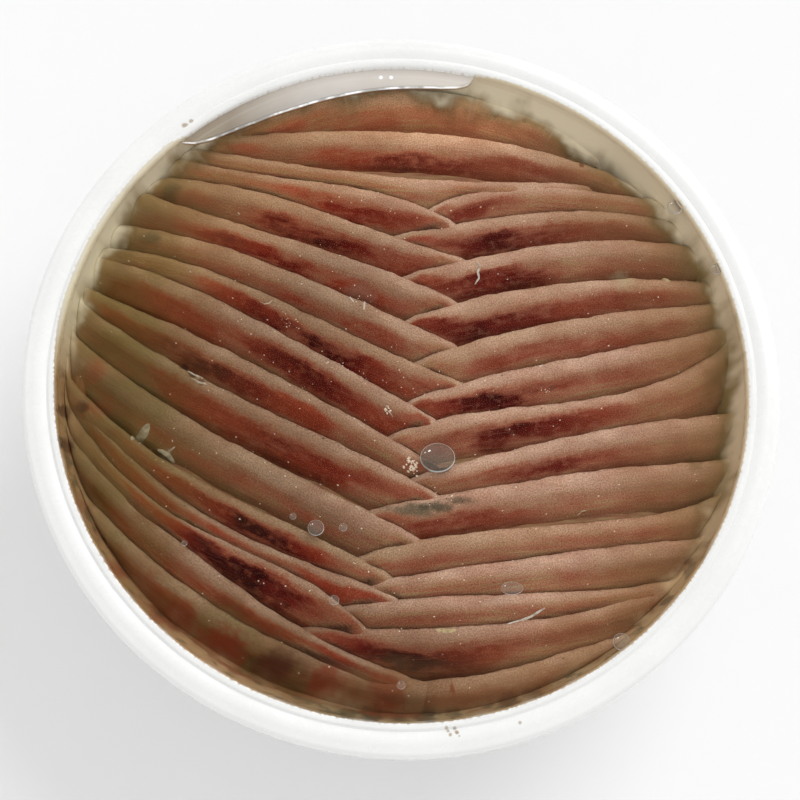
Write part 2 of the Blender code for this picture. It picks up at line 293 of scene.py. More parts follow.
CLOUD_SPOTS = [Spot(*row) for row in (
    (-14, -83.6, 2.2, 1.6, 0.6, (72, 66, 46)), (-8.6, -83.8, 2.6, 1.8, 0.75, (58, 56, 42)),
    (-2, -84.6, 1.9, 1.5, 0.65, (66, 62, 46)), (4.4, -84.2, 2.4, 1.7, 0.7, (60, 58, 44)),
    (11, -83.6, 2, 1.6, 0.5, (84, 70, 46)), (24.5, -80.6, 2.4, 2, 0.6, (72, 48, 34)),
    (30.2, -79, 2.2, 2, 0.5, (80, 54, 38)), (-84.4, -8, 1.6, 1.2, 0.7, (56, 30, 18)),
    (-83.6, -17, 1.8, 1.4, 0.7, (58, 34, 22)), (-79.4, -33, 2.4, 2.4, 0.4, (120, 64, 40)),
    (-70.8, -48.6, 2.6, 2.6, 0.5, (124, 62, 38)), (-60, -60.2, 2.2, 2, 0.5, (122, 62, 38)),
)]
# Crumbs strewn between two places: spread, how many, largest size and whether they are dark
Strewn = namedtuple("Strewn", "first last spread count largest dark")
STREWN = [Strewn(*row) for row in (
    ((1.4, -21), (2.8, -23.6), 0.75, 46, 0.48, False), ((-3.9, -8), (-3.3, -7.4), 0.45, 9, 0.5, False),
    ((-20, 6.2), (-7, -0.4), 0.7, 30, 0.26, False), ((-31, 18), (-26, 14.5), 1, 18, 0.22, False),
    ((-13.5, 24.5), (-6, 19.5), 1.2, 16, 0.26, False), ((32.6, 4), (35.2, 3.9), 0.25, 12, 0.36, False),
    ((35, -2.4), (37.6, -2.4), 0.3, 7, 0.3, False), ((-22, 52), (10, 44), 2.5, 18, 0.28, False),
    ((-46, 14), (-18, -10), 5, 26, 0.24, False), ((-60, -14), (-48, -30), 5, 24, 0.3, False),
    ((-3, 6), (3, -8), 3, 16, 0.26, False), ((10, 0), (50, 10), 6, 20, 0.22, False),
    ((-30, -50), (20, -60), 6, 26, 0.28, False), ((2, -26), (10, -30), 2, 12, 0.26, False),
    ((60, 36), (66, 20), 3, 8, 0.26, False), ((-30, -10.6), (-1, -25), 0.4, 46, 0.24, True),
    ((-2, -34.4), (15, -31.8), 0.8, 22, 0.3, True), ((36.4, -1.6), (38.6, -1.4), 0.3, 6, 0.3, True),
    ((-36, 20.6), (-33.6, 20.4), 0.1, 8, 0.18, True), ((-56, 4.6), (-50, -1.6), 0.6, 14, 0.3, True),
    ((48, 63), (55, 61), 1.2, 16, 0.34, True),
)]
# Crumbs scattered over each side: shade, how many to a square metre, and what their seed adds
CRUMBS = (("pale", 9000.0, 0), ("dark", 2500.0, 10))
CRUMB_SEEDS = {"right": 11, "left": 12}
LUMP_FLATNESS = 0.6
# Scraps that lie on the fillets: kind, width in millimetres and the places that they pass through
Scrap = namedtuple("Scrap", "kind width places")
SCRAPS = [Scrap(*row) for row in (
    ("flake", 1.8, ((-61.4, -17), (-60, -17.6), (-58.4, -18.6), (-57.2, -20.4))),
    ("flake", 0.6, ((-59.4, -18.6), (-58.4, -17.6), (-57, -16.8))),
    ("flake", 2.4, ((-68, -15), (-66.6, -14.4), (-65, -13.2), (-63.6, -11))),
    ("flake", 0.7, ((-66.2, -14.2), (-65.6, -15.4), (-65.8, -16.6))),
    ("flake", 0.8, ((24.6, -62), (27.6, -61.2), (30.6, -60), (34, -58.2))),
    ("flake", 0.55, ((19.4, 32), (20.2, 30.6), (19.5, 29.4), (19.9, 28), (18.8, 26.6))),
    ("flake", 0.45, ((-15.2, 24), (-13.6, 22.8), (-12.2, 20.6))),
    ("flake", 0.5, ((-10.8, 22.6), (-9.6, 20.8), (-9.8, 18.6))),
    ("skin", 1.3, ((66.6, 28.6), (68, 27.8), (69.4, 27.6))),
    ("flake", 0.6, ((-54.4, 2.6), (-52.4, 1.2), (-50.2, 0.4))),
    ("flake", 0.5, ((-53.2, 0.4), (-51.4, -0.8), (-49.2, -1.4))),
    ("skin", 1, ((7, -63.4), (9.8, -63.9), (12.4, -63.6))),
    ("bone", 0.24, ((-36.2, 20.8), (-35, 20.2), (-33.8, 20.4), (-33, 21.2))),
    ("bone", 0.22, ((43, -34.4), (44.2, -33.4), (45.6, -33.2))),
    ("bone", 0.2, ((-4.6, -7.6), (-3.4, -8.6), (-2.6, -9.8))),
    ("bone", 0.22, ((-12.4, -32.8), (-11, -33.6), (-9.6, -33.4))),
)]
# How thick each kind is as a share of its width, and how ragged
SCRAP_KINDS = (("skin", 0.16, 0.0007), ("flake", 0.16, 0.0004), ("bone", 0.9, 0.0001))
SCRAP_STEP = 0.35
SCRAP_LIFT = 0.0001
# How deep the skin is taken to lie where nothing is found
SKIN_DEPTH = 0.004

# How flat the bubbles are, and how far they stay below the top of the oil
BUBBLE_FLATNESS = 0.42
BUBBLE_GAP = 0.0001
# Bubbles in millimetres: place seen from above, radius, and length as a share of the width
Bubble = namedtuple("Bubble", "x y radius stretch", defaults=(1.0,))
BUBBLES = [Bubble(*row) for row in (
    (8.2, -20.9, 3.8, 1.15), (70.9, 46.6, 2), (80.7, 29.3, 1.5), (51.7, -67.4, 2.1), (-21.9, -38.9, 2),
    (-15.3, -38.9, 1), (-27.5, -36.1, 0.8), (-17.5, -57, 1.2), (25.6, -54.2, 1.6, 1.7), (-1.6, -77.7, 1),
    (-53.8, -42.8, 0.7),
)]
# Side where the bubble's painted pale edge is brightest, and directions and sizes of its two painted glints
BUBBLE_LOW_SIDE = Vector((0.45, -0.89, 0.0))
BUBBLE_GLINTS = (
    (Vector((-0.22, 0.20, 0.96)).normalized(), 0.0014), (Vector((-0.40, 0.18, 0.90)).normalized(), 0.0009),
)

# Light: name, where it comes from, strength and angle across
Lamp = namedtuple("Lamp", "name source strength spread")
LAMPS = (
    Lamp("key", Vector((0.55, 0.65, 0.62)), 1.35, math.radians(40)),
    Lamp("fill", Vector((-0.35, -0.75, 0.62)), 0.20, math.radians(80)),
)
SKY_STRENGTH = 0.78


class Wire:
    """One output of a node. It can stand in a sum, and [name] gives another output of the node."""

    def __init__(self, graph, node, name=0):
        self.graph = graph
        self.node = node
        self.name = name

    def __getitem__(self, name):
        return Wire(self.graph, self.node, name)

    def socket(self):
        return self.node.outputs[self.name]

    def sum(self, operation, first, second):
        is_vector = self.socket().type in ("VECTOR", "RGBA")
        return (self.graph.vector if is_vector else self.graph.maths)(operation, first, second)

    def __add__(self, other):
        return self.sum("ADD", self, other)

    def __sub__(self, other):
        return self.sum("SUBTRACT", self, other)

    def __rsub__(self, other):
        return self.sum("SUBTRACT", other, self)

    def __mul__(self, other):
        return self.sum("MULTIPLY", self, other)

    def __truediv__(self, other):
        return self.sum("DIVIDE", self, other)

    def __abs__(self):
        return self.graph.maths("ABSOLUTE", self)


class Graph:
    """Adds nodes to a tree. A value that is a wire gets linked, and any other is set."""

    def __init__(self, tree):
        self.tree = tree

    def add(self, kind, values=None, **settings):
        node = self.tree.nodes.new(kind)
        for name, setting in settings.items():
            setattr(node, name, setting)
        for name, value in (values or {}).items():
            if isinstance(value, Wire):
                self.tree.links.new(value.socket(), node.inputs[name])
            else:
                node.inputs[name].default_value = value
        return Wire(self, node)

    def maths(self, operation, *values):
        return self.add("ShaderNodeMath", dict(enumerate(values)), operation=operation)

    def vector(self, operation, *values):
        return self.add("ShaderNodeVectorMath", dict(enumerate(values)), operation=operation)

    def scaled(self, vector, factor):
        return self.add("ShaderNodeVectorMath", {0: vector, "Scale": factor}, operation="SCALE")

    def length(self, vector):
        return self.vector("LENGTH", vector)["Value"]

    def largest(self, first, *others):
        for other in others:
            first = self.maths("MAXIMUM", first, other)
        return first

    def place(self):
        return self.add("ShaderNodeTexCoord")["Object"]

    def radius(self, place):
        """Distance of a place from the tub's axis."""
        return self.length(place * (1.0, 1.0, 0.0))

    def parts(self, vector):
        made = self.add("ShaderNodeSeparateXYZ", {0: vector})
        return made["X"], made["Y"], made["Z"]

    def joined(self, x=0.0, y=0.0, z=0.0):
        return self.add("ShaderNodeCombineXYZ", {0: x, 1: y, 2: z})

    def mix(self, share, first, second, blend_type="MIX"):
        values = {0: share, 6: first, 7: second}
        return self.add("ShaderNodeMix", values, data_type="RGBA", blend_type=blend_type)[2]

    def times(self, share, first, second):
        return self.mix(share, first, second, "MULTIPLY")

    def blend(self, share, first, second):
        return self.add("ShaderNodeMix", {0: share, 2: first, 3: second}, data_type="FLOAT")

    def shaders(self, share, first, second):
        return self.add("ShaderNodeMixShader", {0: share, 1: first, 2: second})

    def ramp(self, value, low, high, from_value=0.0, to_value=1.0):
        """Smooth step from one value to another as the input goes from low to high."""
        values = dict(enumerate((value, low, high, from_value, to_value)))
        return self.add("ShaderNodeMapRange", values, interpolation_type="SMOOTHSTEP")

    def colours(self, share, stops):
        """Colour that follows a table of (share, colour)."""
        made = self.add("ShaderNodeValToRGB", {0: share})
        elements = made.node.color_ramp.elements
        for index, (position, colour) in enumerate(stops):
            stop = elements[index] if index < 2 else elements.new(position)
            stop.position = position
            stop.color = colour
        return made

    def noise(self, vector, scale=1.0, detail=2.0, roughness=0.5):
        values = {"Vector": vector, "Scale": scale, "Detail": detail, "Roughness": roughness}
        return self.add("ShaderNodeTexNoise", values)["Fac"]

    def group(self, tree, values=None):
        return self.add("ShaderNodeGroup", values, node_tree=tree)

    def attribute(self, name, output="Fac"):
        return self.add("ShaderNodeAttribute", attribute_name=name)[output]

    def bump(self, height, strength, distance):
        values = {"Height": height, "Strength": strength, "Distance": distance}
        return self.add("ShaderNodeBump", values)["Normal"]

    def facing(self):
        """1 on a face seen from outside, 0 from inside."""
        return 1.0 - self.add("ShaderNodeNewGeometry")["Backfacing"]

    def surface(self, shader):
        self.add("ShaderNodeOutputMaterial", {"Surface": shader})

    def painted(self, colour, roughness, specular=0.5, normal=None):
        """One Principled BSDF as the material's surface."""
        values = {"Base Color": colour, "Roughness": roughness, "Specular IOR Level": specular}
        if normal is not None:
            values["Normal"] = normal
        self.surface(self.add("ShaderNodeBsdfPrincipled", values))


def new_tree(name, inputs, outputs, kind="ShaderNodeTree"):
    """A node group with named sockets: the tree, its graph and what it is given."""
    tree = bpy.data.node_groups.new(name, kind)
    for label, socket_kind, default in inputs:
        socket = tree.interface.new_socket(label, in_out="INPUT", socket_type=f"NodeSocket{socket_kind}")
        if default is not None:
            socket.default_value = default
    for label, socket_kind in outputs:
        tree.interface.new_socket(label, in_out="OUTPUT", socket_type=f"NodeSocket{socket_kind}")
    graph = Graph(tree)
    return tree, graph, graph.add("NodeGroupInput")


def linear(red, green, blue):
    """An 8-bit screen colour as the linear colour that a node takes."""
    parts = [value / 255 for value in (red, green, blue)]
    return tuple(p / 12.92 if p <= 0.04045 else ((p + 0.055) / 1.055) ** 2.4 for p in parts) + (1.0,)


WHITE = (1.0, 1.0, 1.0, 1.0)
TAN = linear(186, 150, 130)
PALE_TAN = linear(204, 170, 150)
OLIVE_TAN = linear(170, 142, 104)
PINK = linear(170, 114, 90)
RED_FLESH = linear(160, 100, 78)
RUST = linear(142, 70, 50)
MAROON = linear(106, 32, 24)
BLACK_PLUM = linear(52, 8, 6)
# Painted shade in the crease under the edge of the fillet laid over it
CREASE_SHADE = linear(30, 12, 6)

# The oil's haze and tint, on the right and on the left, and the radius at which it starts
HAZE_RIGHT = linear(140, 106, 74)
HAZE_LEFT = linear(112, 88, 44)
HAZE_GREEN = linear(94, 86, 40)
TINT_RIGHT = (0.80, 0.74, 0.60, 1.0)
TINT_LEFT = (0.60, 0.61, 0.37, 1.0)
HAZE_RIGHT_SIDE = -0.012
HAZE_LEFT_SIDE = -0.068
HAZE_RIGHT_START = 0.050
HAZE_LEFT_START = 0.040
HAZE_FRONT_START = 0.066
HAZE_LEFT_EXTRA = 0.30
HAZE_OPACITY = 0.60
# How the top layer and what lies on it stand in the haze
TOP_LAYER_HAZE = {"Clear Depth": 0.0055, "Haze Depth": 0.0090, "Wall Haze": 1.2}


def oil_haze_group():
    """Colour as seen through cloudy oil: hazier with depth, near the wall and on the left."""
    inputs = [("Color", "Color", None), ("Clear Depth", "Float", 0.004)]
    inputs += [("Haze Depth", "Float", 0.01), ("Wall Haze", "Float", 0.0)]
    tree, graph, given = new_tree("seen_through_oil", inputs, [("Color", "Color"), ("Haze", "Float")])
    place = graph.place()
    x, y, z = graph.parts(place)
    cloudy = graph.largest(FILM_LOW.z - z - given["Clear Depth"], 0.0)
    streaks = graph.noise(place * (55.0, 55.0, 55.0), detail=3.0)
    radius = graph.radius(place) + (streaks - 0.5) * 0.030
    leftness = graph.ramp(x + y * 0.35, HAZE_RIGHT_SIDE, HAZE_LEFT_SIDE)
    low = graph.ramp(y, -0.022, -0.046)
    start = graph.blend(leftness, HAZE_RIGHT_START, HAZE_LEFT_START)
    start = graph.blend(low, start, HAZE_FRONT_START)
    clouds = graph.noise(place * (70.0, 70.0, 0.0), detail=3.0)
    near_wall = graph.ramp(radius, start, INNER_TOP_RADIUS) * graph.ramp(clouds, 0.35, 0.65, 0.55, 1.45)
    clearer = graph.ramp(y, 0.045, 0.066) * graph.ramp(abs(x), 0.058, 0.030)
    near_wall = near_wall * graph.blend(clearer, 1.0, 0.25)
    extra = leftness * graph.blend(low, HAZE_LEFT_EXTRA, 0.0)
    thickness = cloudy / given["Haze Depth"] + near_wall * given["Wall Haze"] + extra
    haze = 1.0 - graph.maths("EXPONENT", thickness * -1.0)
    tinted = graph.times(haze, given["Color"], graph.mix(leftness, TINT_RIGHT, TINT_LEFT))
    on_left = graph.mix(graph.ramp(streaks, 0.42, 0.62), HAZE_LEFT, HAZE_GREEN)
    hazy = graph.mix(haze * HAZE_OPACITY, tinted, graph.mix(leftness, HAZE_RIGHT, on_left))
    graph.add("NodeGroupOutput", {"Color": hazy, "Haze": haze})
    return tree


def mottle_group():
    """Uneven patches: smooth noise pulled apart into a mask."""
    inputs = [("Vector", "Vector", None), ("Scale", "Vector", None)]
    inputs += [("Low", "Float", 0.4), ("High", "Float", 0.6)]
    tree, graph, given = new_tree("mottle", inputs, [("Mask", "Float")])
    patches = graph.noise(given["Vector"] * given["Scale"], detail=3.0, roughness=0.55)
    graph.add("NodeGroupOutput", {"Mask": graph.ramp(patches, given["Low"], given["High"])})
    return tree


def mottled(graph, mottle, place, scale, low, high):
    """The mask of a mottle group at a place."""
    return graph.group(mottle, {"Vector": place, "Scale": scale, "Low": low, "High": high})


def spot_group():
    """A spot round a place, seen from above, with a soft edge that follows a wobble of 0 to 1."""
    inputs = [("Place", "Vector", None), ("Size", "Float", 0.002), ("Soft", "Float", 0.0005)]
    inputs += [("Wobble", "Float", 0.5), ("Stretch", "Float", 1.0)]
    tree, graph, given = new_tree("ragged_spot", inputs, [("Mask", "Float")])
    x, y, _ = graph.parts(graph.place() - given["Place"])
    away = graph.length(graph.joined(x / given["Stretch"], y))
    reach = given["Size"] * ((given["Wobble"] - 0.5) * 1.6 + 1.0)
    graph.add("NodeGroupOutput", {"Mask": graph.ramp((reach - away) / given["Soft"], -0.5, 0.5)})
    return tree


def spotted(graph, spot, colour, table):
    """A colour with a table of spots laid over it."""
    wobble = graph.noise(graph.place(), 420.0, 3.0)
    for stain in table:
        values = {"Place": (stain.x * MM, stain.y * MM, 0.0), "Size": stain.size * MM}
        values.update({"Soft": stain.soft * MM, "Stretch": stain.stretch, "Wobble": wobble})
        mask = graph.group(spot, values)
        colour = graph.mix(mask * stain.share, colour, linear(*stain.colour))
    return colour


def new_material(name):
    """A material with an empty node tree, and its graph."""
    made = bpy.data.materials.new(name)
    made.use_nodes = True
    made.node_tree.nodes.clear()
    return made, Graph(made.node_tree)


def dark_flank(graph, mottle, flesh, line, off_back):
    """How far the dark flank shows, and its colour: rust, maroon, then black, with freckles."""
    patches = mottled(graph, mottle, flesh, (48.0, 150.0, 40.0), 0.34, 0.64)
    on_belly = graph.ramp(line, 0.72, 1.02)
    flank = off_back * graph.blend(on_belly, 1.0, 0.55) * graph.attribute("flank")
    flank = graph.ramp(flank * graph.blend(patches, 0.46, 1.0), 0.0, 0.90)
    deep = mottled(graph, mottle, flesh, (75.0, 140.0, 40.0), 0.25, 0.65)
    black = graph.maths("MINIMUM", graph.attribute("black") * graph.blend(deep, 0.55, 1.25), 1.0)
    dark = graph.mix(graph.ramp(black, 0.05, 0.60), RUST, MAROON)
    dark = graph.mix(graph.ramp(black, 0.40, 1.0) * graph.ramp(flank, 0.5, 1.0), dark, BLACK_PLUM)
    freckles = graph.noise(flesh * (420.0, 520.0, 40.0))
    return flank, graph.mix(graph.ramp(freckles, 0.50, 0.70, 0.0, 0.30), dark, PINK)


def fillet_material(haze, cloud, mottle, spot):
    """Cured flesh: tan back, patchy dark flank, pink belly, fine fibres, painted shade in the creases, left
    and front, painted light on the back rows.
    """
    made, graph = new_material("cured_fillet")
    flesh = graph.attribute("flesh", "Vector")
    row = graph.parts(flesh)[2]
    draws = graph.add("ShaderNodeTexWhiteNoise", {"W": row}, noise_dimensions="1D")["Color"]
    draw = graph.add("ShaderNodeSeparateColor", {0: draws})[1]
    fibres = graph.noise(flesh * (90.0, 1500.0, 40.0), detail=3.0)
    wander = graph.noise(flesh * (110.0, 130.0, 40.0), detail=4.0)
    nibble = graph.noise(flesh * (700.0, 500.0, 40.0), detail=4.0, roughness=0.7)
    wobble = (wander - 0.5) * 0.34 + (fibres - 0.5) * 0.16 + (nibble - 0.5) * 0.20
    line = graph.attribute("band") + wobble
    off_back = graph.ramp(line - graph.attribute("start"), -0.22, 0.30)
    flank, dark = dark_flank(graph, mottle, flesh, line, off_back)
    dark = graph.mix(graph.ramp(fibres, 0.50, 0.72, 0.0, 0.22), dark, RED_FLESH)
    back = graph.mix(graph.ramp(wander, 0.35, 0.65), TAN, PALE_TAN)
    back = graph.mix(graph.ramp(draw, 0.4, 1.0) * 0.5, back, OLIVE_TAN)
    belly = graph.mix(graph.ramp(fibres, 0.35, 0.7), PINK, OLIVE_TAN)
    place = graph.place()
    x, y, _ = graph.parts(place)
    # Painted shade: the flesh is darker on the left and at the front
    front = graph.ramp(y, -0.050, -0.072) * graph.ramp(x, 0.036, 0.0)
    shaded = graph.largest(graph.ramp(x, 0.024, -0.028), front * 0.85)
    body = graph.times(shaded, graph.mix(off_back, back, belly), (0.62, 0.62, 0.57, 1.0))
    dark = graph.times(shaded, dark, (0.90, 0.58, 0.42, 1.0))
    reddish = graph.times(shaded, RED_FLESH, (0.78, 0.66, 0.58, 1.0))
    body = graph.mix(graph.ramp(flank, 0.0, 0.60), body, reddish)
    body = graph.mix(graph.ramp(flank, 0.36, 0.92), body, dark)
    grain = graph.noise(flesh * (2600.0, 2600.0, 40.0), roughness=0.7)
    blotches = graph.noise(place * (75.0, 120.0, 0.0), detail=4.0, roughness=0.6)
    shade = graph.mix(graph.ramp(grain, 0.3, 0.7), (0.62, 0.61, 0.62, 1.0), (1.20, 1.19, 1.18, 1.0))
    # Grain, then painted shade at the front, darker towards the right, painted light on the back rows, and
    # blotches
    for share, tint in (
        (1.0, shade),
        (front, (0.80, 0.76, 0.74, 1.0)),
        (graph.ramp(x, 0.036, 0.064), (0.94, 0.90, 0.89, 1.0)),
        (graph.ramp(y - x * 0.5, 0.036, 0.066), (1.44, 1.38, 1.30, 1.0)),
        (graph.ramp(y, 0.064, 0.074), (1.30, 1.28, 1.24, 1.0)),
        (graph.ramp(blotches, 0.36, 0.62, 0.75, 0.0), (0.84, 0.72, 0.68, 1.0)),
    ):
        body = graph.times(share, body, tint)
    seen = graph.group(haze, {"Color": body, **TOP_LAYER_HAZE})
    here = graph.group(cloud)
    # Painted shade in the crease behind the edge laid over each fillet, weaker in the haze
    crease = graph.attribute("crease") * graph.ramp(seen["Haze"], 0.10, 0.85, 0.78, 0.20)
    colour = spotted(graph, spot, graph.mix(crease, seen["Color"], CREASE_SHADE), FLESH_SPOTS_AND_SHADOWS)
    colour = graph.mix(here["Hidden"], colour, here["Color"])
    graph.painted(colour, 0.46, 0.05, graph.bump(fibres + grain * 0.4, 0.35, 0.0003))
    return made


def core_material(haze, cloud, mottle):
    """The layers underneath, dim in the oil: brown flesh, and cloudy oil next to the wall."""
    made, graph = new_material("deep_fillets")
    place = graph.place()
    patches = mottled(graph, mottle, place, (45.0, 95.0, 60.0), 0.35, 0.65)
    fibres = graph.noise(place * (120.0, 900.0, 300.0), detail=3.0)
    body = graph.mix(graph.ramp(fibres, 0.4, 0.7), graph.mix(patches, PINK, MAROON), OLIVE_TAN)
    seen = graph.group(haze, {"Color": body, "Clear Depth": 0.002, "Haze Depth": 0.007})
    here = graph.group(cloud)
    colour = graph.mix(here["Hidden"], seen["Color"], here["Color"])
    graph.painted(colour, 0.55, 0.2, graph.bump(fibres, 0.4, 0.0005))
    return made


def cloud_group(spot):
    """Cloudy oil next to the wall: its colour, how far it hides what lies in it, the way along it."""
    outputs = [("Color", "Color"), ("Hidden", "Float"), ("Radius", "Float")]
    outputs += [("Front", "Float"), ("Along", "Vector"), ("Weld", "Float")]
    tree, graph, _ = new_tree("cloudy_oil_colour", [], outputs)
    place = graph.place()
    x, y, z = graph.parts(place)
    radius = graph.radius(place)
    bearing = graph.maths("ARCTAN2", y, x)
    turn_share = bearing / math.tau + 0.5
    around = graph.colours(turn_share, [(share, linear(*colour)) for share, *colour in CLOUD_COLOURS])
    greys = [(share, (edge - WELD_LOW) / WELD_SPAN) for share, edge in WELD_EDGES]
    weld = graph.colours(turn_share, [(share, (grey, grey, grey, 1.0)) for share, grey in greys])
    weld = graph.add("ShaderNodeSeparateColor", {0: weld}) * WELD_SPAN + WELD_LOW
    front = graph.ramp(y + x * 0.30, 0.005, -0.045)
    along = graph.joined(bearing * WAY_RADIUS, radius, z)
    drift = graph.noise(place * (110.0, 110.0, 30.0), detail=2.5)
    ragged = graph.noise(place * (420.0, 420.0, 60.0), detail=3.0)
    reach = radius + ((drift - 0.5) * 0.013 + (ragged - 0.5) * 0.0010)
    reach = reach + graph.ramp(y, 0.030, 0.062) * graph.ramp(x, 0.0, 0.020) * 0.0024
    near = graph.mix(graph.ramp(drift, 0.38, 0.62), linear(136, 114, 74), linear(106, 88, 52))
    near = graph.mix(front, near, linear(138, 104, 72))
    colour = graph.mix(graph.ramp(reach, 0.0816, 0.0862), near, around)
    streaks = graph.ramp(graph.noise(along * (900.0, 60.0, 60.0)), 0.5, 0.8, 0.0, 0.12)
    colour = graph.mix(streaks * graph.ramp(y, 0.02, 0.06), colour, linear(232, 222, 200))
    colour = spotted(graph, spot, colour, CLOUD_SPOTS)
    hidden = graph.ramp(reach - front * 0.0025, 0.0768, 0.0850)
    values = {"Color": colour, "Hidden": hidden, "Radius": radius}
    graph.add("NodeGroupOutput", {**values, "Front": front, "Along": along, "Weld": weld})
    return tree


def cloud_material(cloud, mottle):
    """Cloudy oil along the wall, with scraps of flesh and skin along the front."""
    made, graph = new_material("cloudy_oil")
    here = graph.group(cloud)
    scraps = mottled(graph, mottle, here["Along"], (110.0, 260.0, 30.0), 0.44, 0.60)
    dark = mottled(graph, mottle, here["Along"], (190.0, 380.0, 90.0), 0.50, 0.64)
    share = scraps * here["Front"] * graph.ramp(here["Radius"], 0.0862, 0.0835)
    colour = graph.mix(share * 0.75, here["Color"], linear(112, 58, 36))
    colour = graph.mix(dark * here["Front"] * 0.6, colour, linear(72, 66, 46))
    graph.painted(colour, 0.6, 0.03)
    return made


def tub_material(cloud, mottle, spot):
    """Glossy white moulded plastic, seen through oil inside the weld, with dried brown drops."""
    made, graph = new_material("moulded_white")
    place = graph.place()
    here = graph.group(cloud)
    patches = mottled(graph, mottle, place, (60.0, 60.0, 60.0), 0.3, 0.7)
    white = graph.mix(patches, (0.87, 0.875, 0.86, 1.0), (0.90, 0.90, 0.89, 1.0))
    scallops = graph.noise(here["Along"] * (900.0, 0.0, 0.0))
    within = here["Weld"] + scallops * 0.0008 - here["Radius"]
    open_side = graph.attribute("open_side")
    colour = graph.mix(graph.ramp(within, 0.0, 0.0003) * open_side, white, here["Color"])
    line = graph.ramp(abs(within), 0.00026, 0.00004) * graph.ramp(scallops, 0.45, 0.65)
    colour = graph.mix(line * open_side * 0.25, colour, linear(150, 130, 104))
    colour = spotted(graph, spot, colour, RIM_STAINS)
    scuffs = graph.noise(place * (300.0, 300.0, 900.0), detail=4.0)
    graph.painted(colour, graph.ramp(scuffs, 0.35, 0.75, 0.20, 0.36))
    return made


def film_material():
    """Clear film: see-through, with a gloss on its upper face and a frosted weld."""
    made, graph = new_material("clear_film")
    clear = graph.add("ShaderNodeBsdfTransparent", {"Color": WHITE})
    gloss = graph.add("ShaderNodeBsdfGlossy", {"Color": WHITE, "Roughness": 0.09})
    frost = graph.add("ShaderNodeBsdfDiffuse", {"Color": (0.92, 0.92, 0.90, 1.0)})
    body = graph.shaders(graph.attribute("weld") * 0.15, clear, frost)
    shine = graph.add("ShaderNodeFresnel", {"IOR": 1.08}) * graph.facing()
    graph.surface(graph.shaders(shine, body, gloss))
    return made


def oil_material(spot):
    """Yellow oil: clear, fogged under the air pocket, with painted highlights along and inside its edge and
    a painted dark line outside it.
    """
    made, graph = new_material("packing_oil")
    place = graph.place()
    x, _, z = graph.parts(place)
    away = graph.attribute("pocket_away")
    top = graph.ramp(z, OIL_TOP - 0.0022, OIL_TOP - 0.0018)
    pocket = graph.ramp(away, 0.0, 0.0003) * top
    # Painted highlight: a bright line along the pocket's edge, a shine line inside it and two glints
    glitter = graph.ramp(graph.noise(place * (260.0, 260.0, 0.0)), 0.38, 0.62, 0.45, 1.0)
    meniscus_highlight = graph.ramp(abs(away + 0.0002), 0.00045, 0.00020) * glitter
    inner = graph.ramp(abs(graph.radius(place) - SHINE_RADIUS), 0.0005, 0.0)
    shine = graph.largest(meniscus_highlight * top, inner * pocket * graph.ramp(x, -0.030, -0.012, 0.1, 0.3))
    for glint in POCKET_GLINTS:
        mask = graph.group(spot, {"Place": glint, "Size": 0.0006, "Soft": 0.0004})
        shine = graph.largest(shine, mask * pocket)
    # Painted refraction: a dark line just outside the pocket's edge
    dim_line = graph.ramp(abs(away + 0.00085), 0.00035, 0.00010) * top * 0.50
    veil = graph.mix(graph.ramp(x, -0.052, -0.018), linear(164, 150, 132), linear(246, 240, 234))
    veil = graph.mix(shine, veil, WHITE)
    # Brown of the painted dark line outside the pocket's edge
    veil = graph.mix(graph.maths("GREATER_THAN", -0.0006, away), veil, linear(120, 82, 54))
    clear = graph.add("ShaderNodeBsdfTransparent", {"Color": (0.99, 0.975, 0.94, 1.0)})
    gloss = graph.add("ShaderNodeBsdfGlossy", {"Color": WHITE, "Roughness": 0.05})
    fog = graph.add("ShaderNodeBsdfDiffuse", {"Color": veil, "Normal": graph.joined(z=1.0)})
    body = graph.shaders(graph.largest(shine, dim_line, pocket * 0.60), clear, fog)
    wet = graph.add("ShaderNodeFresnel", {"IOR": 1.30}) * graph.facing()
    graph.surface(graph.shaders(wet * graph.blend(pocket, 0.1, 1.0), body, gloss))
    return made


def bubble_material():
    """An air bubble in oil: clear, with a painted pale edge, brightest below, a painted darker ring and two
    painted glints.
    """
    made, graph = new_material("air_bubble")
    normal = graph.add("ShaderNodeNewGeometry")["Normal"]
    upright = graph.parts(normal)[2]
    # Painted highlight: a pale edge and veil, brightest on the low side, and two glints
    outline = graph.ramp(upright, 0.74, 0.52)
    low = graph.ramp(graph.vector("DOT_PRODUCT", normal, BUBBLE_LOW_SIDE)["Value"], 0.10, 0.70)
    bright = outline * low
    for direction, size in BUBBLE_GLINTS:
        near = graph.vector("DOT_PRODUCT", normal, direction)["Value"]
        bright = graph.largest(bright, graph.ramp(near, 1 - size, 1 - size / 2))
    # Painted shade: a darker ring inside the edge
    shade = graph.ramp(upright, 0.92, 0.70) * graph.ramp(upright, 0.50, 0.66)
    tint = graph.mix(shade, WHITE, (0.93, 0.92, 0.90, 1.0))
    clear = graph.add("ShaderNodeBsdfTransparent", {"Color": tint})
    veil = graph.mix(outline, linear(210, 200, 190), linear(250, 246, 238))
    veil = graph.mix(bright, veil, WHITE)
    pale = graph.add("ShaderNodeBsdfDiffuse", {"Color": veil, "Normal": graph.joined(z=1.0)})
    share = graph.largest(graph.ramp(outline, 0.0, 1.0, 0.14, 0.62), bright * 0.95)
    graph.surface(graph.shaders(share * graph.facing(), clear, pale))
    return made


def speck_material(haze, name, first, second, roughness):
    """Crumbs and scraps: two colours in patches."""
    made, graph = new_material(name)
    patches = graph.noise(graph.place(), 900.0)
    colour = graph.mix(graph.ramp(patches, 0.35, 0.65), linear(*first), linear(*second))
    seen = graph.group(haze, {"Color": colour, **TOP_LAYER_HAZE})
    graph.painted(seen["Color"], roughness, normal=graph.bump(patches, 0.3, 0.0003))
    return made


